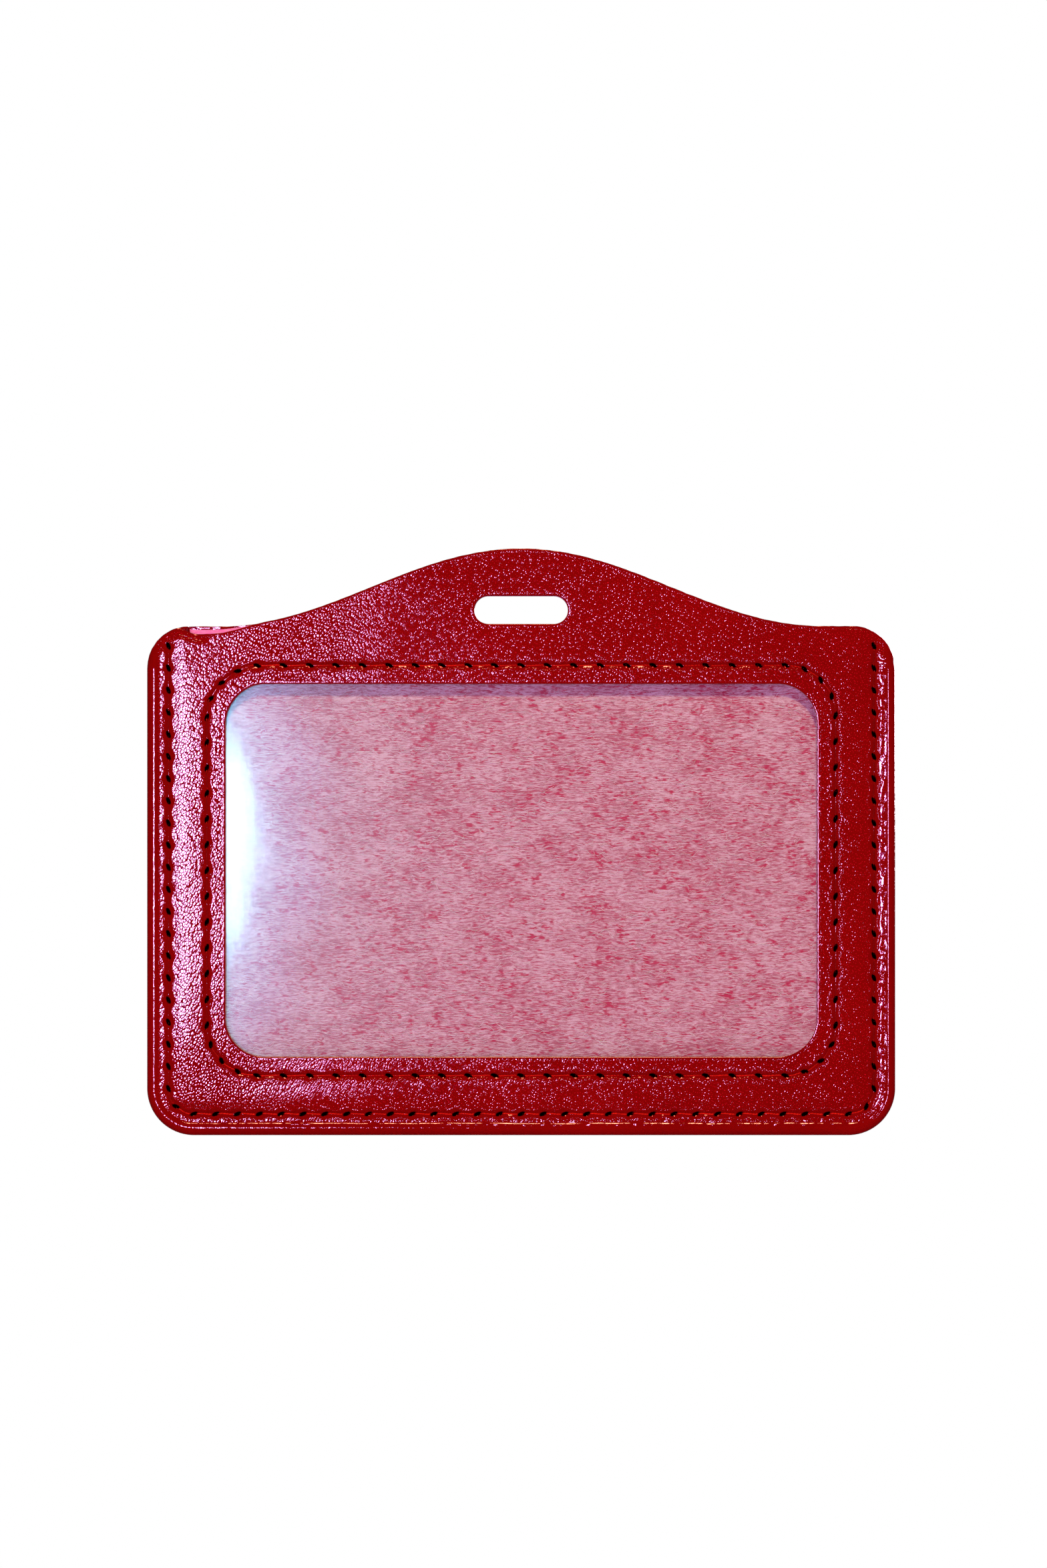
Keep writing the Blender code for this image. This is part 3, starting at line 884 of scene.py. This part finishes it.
def sewn_thread(name, seam, side, material):
    """The thread seen on one side of a seam.

    Between two holes it lies half sunk in the valley, sidesteps a little as a sine along each
    stitch, and dives at each hole.
    """
    closed = seam is window_seam
    count = round(seam.counts[-1]) * places_per_stitch + (0 if closed else 1)
    stitch = np.arange(count) / places_per_stitch
    along = seam.distance_at(stitch)
    if closed:
        places, sideways = window_seam_line(along)
        floor = face_drop + valley_floor(window_valley_reach)
    else:
        places, sideways = edge_seam_line(along)
        floor = face_drop + trough_depth + valley_floor(edge_valley_reach)
    floor = floor - raised_upright * np.abs(sideways[:, 0])
    dive = np.exp(-((seam.past_hole(along) / dive_reach) ** 4))
    depth = thread_sink + dive_depth * dive
    spots = places + (thread_sidestep * np.sin(2 * math.pi * stitch))[:, None] * sideways
    if side == FRONT and not closed:
        spots[:, 1] -= lowered_corner(spots[:, 0], spots[:, 1])
    centres = at_depth(spots, side * (half_depth - floor - depth))
    return twisted_thread(name, centres, at_depth(sideways, along * 0), closed, material)


def lying_thread(name, material):
    """The window seam's bobbin thread, which runs straight along the seam behind the film."""
    low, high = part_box("window_bobbin_thread")
    along = window_seam.length * np.arange(900) / 900
    places, outward = window_seam_line(along)
    centres = at_depth(places, np.full(len(along), (low[1] + high[1]) / 2))
    return twisted_thread(name, centres, at_depth(outward, along * 0), True, material)


# The film and the fleece

film_corner_radius = 2.0 * MM
film_crown = 0.015 * MM
film_crown_reach = 9 * MM
film_ripple = 0.008 * MM
film_ripple_lengths = [23 * MM, 37 * MM, 15 * MM]
fleece_relief_lengths = [3.1 * MM, 4.7 * MM, 2.3 * MM, 6.3 * MM, 1.9 * MM]
fibre_steps = 6
fibre_sides = 3
fibre_margin = 2 * MM


def window_film(material):
    """A crowned clear sheet: x follows the rounded outline's width at each z, in two skins."""
    half_x, low_z, high_z = film_high[0], film_low[2], film_high[2]
    radius = film_corner_radius
    turn = np.linspace(0, math.pi / 2, 7)
    z = np.concatenate([
        low_z + radius * (1 - np.cos(turn)),
        np.linspace(low_z + radius, high_z - radius, 60)[1:-1],
        high_z - radius * (1 - np.sin(turn)),
    ])
    from_end = np.minimum(z - low_z, high_z - z)
    edge = radius - np.sqrt(np.maximum(radius**2 - np.maximum(radius - from_end, 0) ** 2, 0))
    share = np.linspace(-1, 1, 91)
    x = share[None, :] * (half_x - edge)[:, None]
    z = np.repeat(z[:, None], len(share), 1)
    inside = np.clip(-outside_rectangle(x, z, *window_rectangle) / film_crown_reach, 0, 1)
    crown = film_crown * np.sin(inside * math.pi / 2)
    crown = crown + film_ripple * inside * waves(x, z, film_ripple_lengths, 21)
    outer = np.stack([x, film_low[1] - crown, z], 2).reshape(-1, 3)
    inner = np.stack([x, film_high[1] - crown, z], 2).reshape(-1, 3)
    rows, columns = x.shape
    cell = (np.arange(rows - 1)[:, None] * columns + np.arange(columns - 1)).ravel()
    face = np.column_stack([cell, cell + 1, cell + columns + 1, cell + columns])
    foot = np.arange(columns)
    right = np.arange(1, rows) * columns + columns - 1
    top = (rows - 1) * columns + np.arange(columns - 2, -1, -1)
    left = np.arange(rows - 2, 0, -1) * columns
    rim = np.concatenate([foot, right, top, left])
    offset = rows * columns
    quads = np.concatenate([face, face[:, ::-1] + offset, loop_wall(rim, offset)])
    points = np.concatenate([outer, inner])
    return make_piece("window_film_crowned", "film", material, points, quads)


def ply_outline(inset):
    """The closed outline of a sheet trimmed at an inset, with its top cut along the wave."""
    places, inward = edge_seam_line(np.linspace(0, edge_seam.length, 420))
    folded = places + (inset - edge_seam_inset) * inward
    top_x = folded[-1, 0]
    folded = folded[folded[:, 1] < shoulder_z - 0.2 * MM]
    x = np.linspace(top_x, -top_x, 240)
    return np.vstack([folded, np.column_stack([x, top_edge_z(x) - 0.05 * MM])])


def fleece_ply(name, side, material, spacing, relief):
    """A fleece sheet inside a panel: two skins of the same net, joined at their outlines.

    The back one has a low relief of waves, and the front one is cut out round the window.
    """
    low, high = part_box("front_backing" if side == FRONT else "back_backing")
    inset = half_width - high[0]
    slot_places, slot_out = slot_line()
    loops = [ply_outline(inset), (slot_places + 0.03 * MM * slot_out)[::-1]]
    if side == FRONT:
        loops.append(rectangle_line(8 * np.arange(400) / 400, *window_rectangle)[0][::-1])
    extra, triangles = web(loops, spacing, lambda x, z: sheet_clearance(x, z, side, inset, web_slack))
    flat = np.concatenate([*loops, extra])
    x, z = flat[:, 0], flat[:, 1]
    height = relief * waves(x, z, fleece_relief_lengths, 31)
    lowering = 1.0 if side == FRONT else 0.4
    flat = np.column_stack([x, z - lowering * lowered_corner(x, z)])
    near_front = at_depth(flat, np.full(len(x), low[1]) + (height if side == BACK else 0))
    near_back = at_depth(flat, np.full(len(x), high[1]))
    starts = np.cumsum([0] + [len(loop) for loop in loops])
    walls = [loop_wall(start + np.arange(len(loop)), len(x)) for start, loop in zip(starts, loops)]
    points = np.concatenate([near_front, near_back])
    triangles = np.concatenate([triangles, triangles[:, ::-1] + len(x)])
    return make_piece(name, "fleece", material, points, np.concatenate(walls), triangles)


def fleece_fibres(material, count):
    """Loose fibres on the back fleece: each is an arc whose heading drifts, mostly sideways."""
    random = np.random.default_rng(7)
    low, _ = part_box("back_backing")
    reach_x = window_half_width + fibre_margin
    centre_x = random.uniform(-reach_x, reach_x, count)
    centre_z = random.uniform(window_foot_z - fibre_margin, window_top_z + fibre_margin, count)
    length = random.uniform(0.5, 2.4, (count, 1)) * MM
    heading = random.normal(0, 0.35, (count, 1))
    bend = random.normal(0, 0.7, (count, 1))
    kink = random.normal(0, 0.35, (count, 1))
    t = np.linspace(-0.5, 0.5, fibre_steps)
    angle = heading + bend * t + kink * np.sin(5 * t + bend * 3)
    step = length / fibre_steps
    x = centre_x[:, None] + np.cumsum(np.cos(angle) * step, 1) - length / 2 * np.cos(heading)
    z = centre_z[:, None] + np.cumsum(np.sin(angle) * step, 1) - length / 2 * np.sin(heading)
    lift = random.uniform(0.01, 0.1, (count, 1)) * MM * (1 - (2 * t) ** 2) + 0.01 * MM
    centres = np.stack([x, low[1] - lift, z], 2)
    ahead = unit(np.gradient(centres, axis=1))
    across = unit(np.cross(ahead, [0.0, 1.0, 0.0]))
    over = np.cross(ahead, across)
    radius = random.uniform(0.014, 0.03, (count, 1, 1, 1)) * MM
    points = tube_points(centres, across, over, radius, fibre_sides).reshape(-1, 3)
    starts = np.arange(count)[:, None, None] * fibre_steps * fibre_sides
    quads = (tube_faces(fibre_steps, fibre_sides, 0, False) + starts).reshape(-1, 4)
    caps = (cap_faces(fibre_steps, fibre_sides, 0) + starts).reshape(-1, 3)
    return make_piece("back_fleece_fibres", "fleece", material, points, quads, caps)


# Materials

coat_red_dark = (0.118, 0.0002, 0.0002)
coat_red_bright = (0.137, 0.0004, 0.0004)
# Painted highlight: the brighter red laid on the middle of each grain cell, where a pebble's crest
# catches light
crest_painted_highlight = (0.38, 0.002, 0.01)
# Painted shade: the near-black colour of the needle holes, which are dark because they are deep
hole_painted_shade = (0.012, 0.0005, 0.0005)
coat_gloss_tint = (1.0, 0.55, 0.85)
pale_fleece = (0.67, 0.34, 0.40)
mid_fleece = (0.43, 0.078, 0.125)
red_fleece = (0.47, 0.028, 0.075)
# Painted shade: a darker, cooler magenta for the fleece near the mouth
mouth_painted_shade = (0.55, 0.07, 0.32)

# The coat's grain: its cells to a metre, its parts' heights as shares, and each relief's depth
coat_cells = 2450
cell_slant = -0.52
crest_height = 0.18
pebble_height = 0.22
swell_height = 0.35
grain_relief = 0.06 * MM
inner_crease_relief = 0.5 * MM
wrinkle_relief = 0.025 * MM


class Value:
    """A node's output that takes part in sums, each of which is a Math node."""

    def __init__(self, nodes, socket):
        self.nodes = nodes
        self.socket = socket

    def __add__(self, other):
        return self.nodes.maths("ADD", self, other)

    def __sub__(self, other):
        return self.nodes.maths("SUBTRACT", self, other)

    def __rsub__(self, other):
        return self.nodes.maths("SUBTRACT", other, self)

    def __mul__(self, other):
        return self.nodes.maths("MULTIPLY", self, other)


class Nodes:
    """The node tree of a material or a world, with short ways to add nodes."""

    def __init__(self, owner):
        owner.use_nodes = True
        self.owner = owner
        self.tree = owner.node_tree
        self.coordinates = self.made("ShaderNodeTexCoord")
        self.place = self.coordinates["Object"]

    def made(self, kind, inputs=None, **settings):
        """A new node's outputs by name, after its settings and its inputs are given."""
        node = self.tree.nodes.new(kind)
        for name, value in settings.items():
            setattr(node, name, value)
        for name, value in (inputs or {}).items():
            self.feed(value, node.inputs[name])
        return {out.name: Value(self, out) for out in node.outputs if out.enabled}

    def feed(self, value, socket):
        """Gives a socket another node's output, a colour, a vector or a number."""
        if isinstance(value, Value):
            self.tree.links.new(value.socket, socket)
        elif isinstance(value, tuple):
            socket.default_value = (*value, 1) if socket.type == "RGBA" else value
        else:
            socket.default_value = value

    def maths(self, operation, first, second):
        """A sum of two numbers by a Math node."""
        return self.made("ShaderNodeMath", {0: first, 1: second}, operation=operation)["Value"]

    def vector(self, operation, first, name, second):
        """A sum of two vectors, or of a vector and a number for the input called name."""
        inputs = {0: first, name: second}
        return self.made("ShaderNodeVectorMath", inputs, operation=operation)["Vector"]

    def parts(self, vector):
        """The X, Y and Z of a vector."""
        return self.made("ShaderNodeSeparateXYZ", {0: vector})

    def attribute(self, name):
        return self.made("ShaderNodeAttribute", attribute_name=name)["Fac"]

    def noise(self, scale, detail=2.0, roughness=0.5, place=None, output="Fac"):
        """Cloudy noise with so many clouds to a metre."""
        inputs = {"Scale": scale, "Detail": detail, "Roughness": roughness}
        inputs["Vector"] = place or self.place
        return self.made("ShaderNodeTexNoise", inputs)[output]

    def cells(self, feature, place):
        """A flat net of cells: the distance to the nearest cell's middle or to its border."""
        inputs = {"Scale": coat_cells, "Randomness": 0.9, "Vector": place}
        settings = {"feature": feature, "voronoi_dimensions": "2D"}
        return self.made("ShaderNodeTexVoronoi", inputs, **settings)

    def stretched(self, scale, turn=(0, 0, 0), place=None):
        """Coordinates turned and then scaled along each axis."""
        inputs = {"Scale": scale, "Rotation": turn, "Vector": place or self.place}
        return self.made("ShaderNodeMapping", inputs)["Vector"]

    def warped(self, scale, amount):
        """Object coordinates pushed about by noise, so that a pattern loses its regular cells."""
        noise = self.noise(scale, 1.0, output="Color")
        push = self.vector("SUBTRACT", noise, 1, (0.5, 0.5, 0.5))
        return self.vector("ADD", self.place, 1, self.vector("SCALE", push, "Scale", amount))

    def eased(self, value, low, high):
        """A smooth ramp from 0 at low to 1 at high."""
        inputs = {"Value": value, "From Min": low, "From Max": high}
        return self.made("ShaderNodeMapRange", inputs, interpolation_type="SMOOTHSTEP")["Result"]

    def mixed(self, share, first, second):
        """A colour between two others."""
        inputs = {"Factor": share, "A": first, "B": second}
        return self.made("ShaderNodeMix", inputs, data_type="RGBA")["Result"]

    def ramp(self, factor, low, low_colour, high, high_colour):
        """One colour up to low, another from high on, and an even change between them."""
        colour = self.made("ShaderNodeValToRGB", {"Fac": factor})["Color"]
        elements = colour.socket.node.color_ramp.elements
        for element, position, end in zip(elements, (low, high), (low_colour, high_colour)):
            element.position = position
            element.color = (*end, 1)
        return colour

    def bump(self, height, distance, strength, after=None):
        """A normal bent by a height of so many metres, on top of an earlier one."""
        inputs = {"Height": height, "Distance": distance, "Strength": strength}
        if after:
            inputs["Normal"] = after
        return self.made("ShaderNodeBump", inputs)["Normal"]


class Finish(Nodes):
    """A new material's nodes, and its shader, whose sockets are fed by name."""

    def __init__(self, name):
        super().__init__(bpy.data.materials.new(name))
        self.shader = self.tree.nodes["Principled BSDF"]

    def surface(self, **inputs):
        """Feeds the shader and returns the material: Base_Color is the socket Base Color."""
        for name, value in inputs.items():
            self.feed(value, self.shader.inputs[name.replace("_", " ")])
        return self.owner


def across_front(nodes):
    """A point's x on the front, counted further right in the strip under the window.

    On the back it is the same everywhere, so that the back has the grain of the left side.
    """
    back_x = 45 * MM
    spot = nodes.parts(nodes.place)
    on_front = nodes.eased(spot["Y"], 0.0, -0.5 * MM)
    in_strip = nodes.eased(spot["Z"], -60 * MM, -69 * MM)
    across = (spot["X"] + back_x) * on_front - back_x
    return across + in_strip * (11 * MM) * on_front


def grain_height(nodes, grain, across, cell_border, cell_middle):
    """The grain's height: flat-topped pebbles with round crests, which turn into sparse dots.

    Rightwards the creases between the pebbles close up and the crests go low, except in a few
    cells, picked by their random colour, which keep a tall dot. A crest is a constant less the
    squared distance from the cell's middle.
    """
    fewer = nodes.eased(across, -45 * MM, -20 * MM) * 0.05
    fewer = fewer + nodes.eased(across, 10 * MM, 50 * MM) * 0.12
    dull = nodes.eased(cell_middle["Color"] - fewer, 0.58, 0.48)
    calm = nodes.eased(across, -42 * MM, -18 * MM) * nodes.eased(grain, 0.6, 1.0) * 0.94
    pebble = nodes.eased(cell_border["Distance"], 0.0, 0.11) * pebble_height * (1 - calm)
    tall = (nodes.eased(across, -52 * MM, -20 * MM) * 1.4 + 0.25) * (1 - calm * dull)
    crest = crest_height - cell_middle["Distance"] * cell_middle["Distance"]
    crest = nodes.maths("MAXIMUM", crest, crest * (1 - calm))
    return nodes.noise(700, 1.0) * swell_height + (pebble + crest * tall)


def coat_normal(nodes, grain, cell_border, cell_middle):
    """The coat's relief: the grain, creases on its inner side, and fine wrinkles over both."""
    across = across_front(nodes)
    height = grain_height(nodes, grain, across, cell_border, cell_middle)
    normal = nodes.bump(height, grain_relief, grain)
    creases = nodes.noise(700, 1.0, 0.5, nodes.stretched((0.5, 1, 1), (0, -0.5, 0)))
    normal = nodes.bump(creases, inner_crease_relief, nodes.attribute("inner"), normal)
    quiet = nodes.eased(across, -45 * MM, -15 * MM) * 0.85 + 0.5
    quiet = quiet - nodes.eased(across, 4 * MM, 20 * MM) * 0.25
    wrinkles = nodes.noise(1300, 3.0, 0.6)
    return nodes.bump(wrinkles, wrinkle_relief, 1.5 - grain * quiet, normal)


def coat_material():
    """Glossy red coated leather: grained where it lies flat, smooth where it is pulled.

    The needle holes are painted shade, nearly black, and the middle of each cell of the grain is a
    brighter red, a painted highlight.
    """
    nodes = Finish("red_grained_coat")
    grain = nodes.attribute("grain")
    hole = nodes.attribute("hole")
    slanted = nodes.stretched((1, 1, 1), (0, cell_slant, 0), nodes.warped(1300, 0.3 * MM))
    flat = nodes.stretched((1.15, 1, 0.82), (-math.pi / 2, 0, 0), slanted)
    cell_border = nodes.cells("DISTANCE_TO_EDGE", flat)
    cell_middle = nodes.cells("F1", flat)
    red = nodes.ramp(nodes.noise(60, 3.0), 0.3, coat_red_dark, 0.7, coat_red_bright)
    # Each grain cell's middle gets a painted highlight, a brighter red
    in_middle = nodes.eased(cell_middle["Distance"], 0.17, 0.06)
    crest_highlighted_red = nodes.mixed(in_middle * grain, red, crest_painted_highlight)
    return nodes.surface(
        # The holes' colour is painted shade: near-black, with metal that darkens their gloss too
        Base_Color=nodes.mixed(hole * 0.97, crest_highlighted_red, hole_painted_shade),
        Roughness=nodes.noise(1500) * 0.03 + 0.02,
        Metallic=nodes.eased(hole, 0.1, 0.7),
        Specular_IOR_Level=1.0,
        Specular_Tint=coat_gloss_tint,
        Normal=coat_normal(nodes, grain, cell_border, cell_middle),
    )


def fleece_material():
    """Matted pink fleece: stretched noise for its fibres, with small red blotches where it is thin. Near
    the mouth it turns a darker magenta, a painted cool shade.
    """
    nodes = Finish("pink_fleece")
    place = nodes.warped(350, 0.7 * MM)
    strands = nodes.noise(5500, 4.0, 0.75, nodes.stretched((0.28, 1, 1), (0, 0.12, 0), place))
    wisps = nodes.noise(8000, 1.0, 0.5, nodes.stretched((0.08, 1, 1), (0, -0.15, 0), place))
    clouds = nodes.noise(200, 3.0, 0.6, nodes.stretched((0.6, 1, 1), place=place))
    blotches = nodes.noise(2300, 1.0, 0.5, nodes.stretched((0.4, 1, 1), place=place))
    thin = strands + clouds * 0.45 - wisps + 0.275
    patch = blotches + (thin - 0.5) * 0.45 + (nodes.noise(500) - 0.5) * 0.6
    pink = nodes.ramp(thin, 0.32, pale_fleece, 0.66, mid_fleece)
    reddened = nodes.mixed(nodes.eased(patch, 0.55, 0.78), pink, red_fleece)
    # Towards the mouth the fleece is mixed into painted shade
    mouth_shade_share = nodes.eased(nodes.parts(nodes.place)["Z"], -7 * MM, -4 * MM) * 0.8
    return nodes.surface(
        Base_Color=nodes.mixed(mouth_shade_share, reddened, mouth_painted_shade),
        Roughness=0.85,
        Specular_IOR_Level=0.2,
        Normal=nodes.bump(strands, 0.12 * MM, 0.8),
    )


def fibre_material():
    """Pale pink fibres, some whiter and some redder."""
    nodes = Finish("pale_fibres")
    tint = nodes.noise(160)
    colour = nodes.ramp(tint, 0.35, (0.74, 0.42, 0.46), 0.65, (0.92, 0.70, 0.72))
    return nodes.surface(Base_Color=colour, Roughness=0.5)


def thread_material():
    """Red polyester thread with a faint sheen; where it runs upright it is darker, a painted shade for
    the valley walls around it.
    """
    nodes = Finish("red_twisted_thread")
    tint = nodes.noise(2500)
    colour = nodes.ramp(tint, 0.3, (0.26, 0.002, 0.001), 0.7, (0.46, 0.005, 0.003))
    return nodes.surface(
        # Painted shade: upright runs are mixed toward a dark red
        Base_Color=nodes.mixed(nodes.attribute("upright"), colour, (0.10, 0.0006, 0.0006)),
        Roughness=0.45,
        Specular_IOR_Level=0.05,
        Normal=nodes.bump(tint, 0.01 * MM, 0.5),
    )


def film_material():
    """Clear film: see-through, with a sharp gloss and a hazy one that Fresnel brings in.

    The gloss has an upper limit, because from behind the film would otherwise turn into a mirror.
    """
    nodes = Finish("clear_window_film")
    nodes.tree.nodes.remove(nodes.shader)
    scratches = nodes.noise(260, 3.0, 0.7, nodes.stretched((3.0, 1, 0.35), (0, 0.4, 0)))
    normal = nodes.bump(scratches, 0.003 * MM, 0.5)

    def glossy(colour, roughness):
        inputs = {"Color": colour, "Roughness": roughness, "Normal": normal}
        return nodes.made("ShaderNodeBsdfGlossy", inputs)["BSDF"]

    def blended(share, first, second):
        return nodes.made("ShaderNodeMixShader", {0: share, 1: first, 2: second})["Shader"]

    clear = nodes.made("ShaderNodeBsdfTransparent", {"Color": (0.92, 0.91, 0.96)})["BSDF"]
    fresnel = nodes.made("ShaderNodeFresnel", {"IOR": 1.52, "Normal": normal})["Fac"]
    gloss = blended(0.33, glossy((0.42, 1.0, 0.93), 0.06), glossy((0.08, 0.88, 0.82), 0.16))
    film = blended(nodes.maths("MINIMUM", fresnel * 1.2, 0.25), clear, gloss)
    nodes.feed(film, nodes.tree.nodes["Material Output"].inputs["Surface"])
    return nodes.owner


# The studio

holder_middle = (0, 0, -0.035)
floor_half_size = 1.5
floor_level = -0.45


def area_light(name, place, size, power, colour, shape="DISK", gloss=True, diffuse=True):
    """A soft lamp turned to the holder's middle; gloss and diffuse say what it lights."""
    light = bpy.data.lights.new(name, "AREA")
    light.shape = shape
    light.size, light.size_y = size
    light.energy = power
    light.color = colour
    obj = bpy.data.objects.new(name, light)
    bpy.context.collection.objects.link(obj)
    obj.location = place
    obj.visible_glossy = gloss
    obj.visible_diffuse = diffuse
    obj.rotation_mode = "QUATERNION"
    obj.rotation_quaternion = (Vector(place) - Vector(holder_middle)).to_track_quat("Z", "Y")


def white_world():
    """White where the camera looks, and elsewhere a dark room that is a little lighter behind."""
    world = bpy.data.worlds.new("white_studio")
    bpy.context.scene.world = world
    nodes = Nodes(world)
    behind = nodes.eased(nodes.parts(nodes.coordinates["Generated"])["Y"], 0.15, 0.75)
    room = nodes.mixed(behind, (0.012, 0.009, 0.012), (0.07, 0.06, 0.06))
    seen = nodes.made("ShaderNodeLightPath")["Is Camera Ray"]
    colour = nodes.mixed(seen, room, (1.0, 1.0, 1.0))
    nodes.feed(colour, nodes.tree.nodes["Background"].inputs["Color"])


def pale_floor():
    """A square floor that throws pale light up, unseen by the camera."""
    mesh = bpy.data.meshes.new("pale_floor")
    corners = [(-1, -1), (1, -1), (1, 1), (-1, 1)]
    points = [(x * floor_half_size, y * floor_half_size, floor_level) for x, y in corners]
    mesh.from_pydata(points, [], [(0, 1, 2, 3)])
    paint = Finish("pale_floor_paint")
    mesh.materials.append(paint.surface(Base_Color=(0.66, 0.56, 0.8), Roughness=0.9))
    floor = bpy.data.objects.new("pale_floor", mesh)
    floor.visible_camera = False
    floor.visible_glossy = False
    bpy.context.collection.objects.link(floor)


def studio():
    """The world, the floor and six lamps: glare on the left, light from above, light behind."""
    white_world()
    pale_floor()
    area_light("left_softbox", (-0.165, -0.91, -0.041), (0.154, 0.154), 2.35, (0.85, 0.75, 1.0))
    area_light("left_halo", (-0.18, -0.914, -0.041), (0.24, 0.24), 0.22, (0.3, 0.25, 1.0))
    area_light("left_fill", (-0.25, -0.92, -0.02), (0.5, 0.5), 6.5, (0.84, 0.57, 0.9), gloss=False)
    area_light("key_lamp", (0.05, -0.92, 0.74), (0.12, 0.12), 25, (0.78, 1.0, 0.43), gloss=False)
    glint = (1.0, 0.55, 0.2)
    area_light("glint_lamp", (0.01, -0.29, 0.85), (0.26, 0.22), 4.5, glint, "ELLIPSE", diffuse=False)
    area_light("back_softbox", (0.7, 0.8, 0.35), (0.8, 0.8), 30, (1.0, 0.97, 0.94), "RECTANGLE")


def camera():
    """The photograph's view: square on to the front, with the frame's height as measured."""
    frame_height = 234.9 * MM
    frame_middle_x = 0.35 * MM
    frame_middle_z = -26.05 * MM
    distance = 900 * MM
    data = bpy.data.cameras.new("camera")
    data.sensor_width = 36.0
    data.lens = data.sensor_width * distance / frame_height
    data.clip_start = 0.01
    obj = bpy.data.objects.new("camera", data)
    bpy.context.collection.objects.link(obj)
    obj.location = (frame_middle_x, -distance, frame_middle_z)
    obj.rotation_euler = (math.pi / 2, 0, 0)
    bpy.context.scene.camera = obj


def dress():
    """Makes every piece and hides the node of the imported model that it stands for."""
    coat = coat_material()
    fleece = fleece_material()
    thread = thread_material()
    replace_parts(panel("front_panel_skin", FRONT, coat), "front_panel")
    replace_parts(panel("back_panel_skin", BACK, coat), "back_panel")
    front_fleece = fleece_ply("front_fleece", FRONT, fleece, spacing=3 * MM, relief=0)
    back_fleece = fleece_ply("back_fleece", BACK, fleece, spacing=0.8 * MM, relief=0.03 * MM)
    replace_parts(front_fleece, "front_backing")
    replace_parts(back_fleece, "back_backing")
    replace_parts(fleece_fibres(fibre_material(), count=6000), "back_backing")
    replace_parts(window_film(film_material()), "window_film")
    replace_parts(sewn_thread("edge_needle_twist", edge_seam, FRONT, thread), "edge_needle_thread")
    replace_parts(sewn_thread("edge_bobbin_twist", edge_seam, BACK, thread), "edge_bobbin_thread")
    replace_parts(sewn_thread("window_needle_twist", window_seam, FRONT, thread), "window_needle_thread")
    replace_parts(lying_thread("window_bobbin_twist", thread), "window_bobbin_thread")


bpy.context.scene.view_settings.view_transform = "Standard"
dress()
studio()
camera()
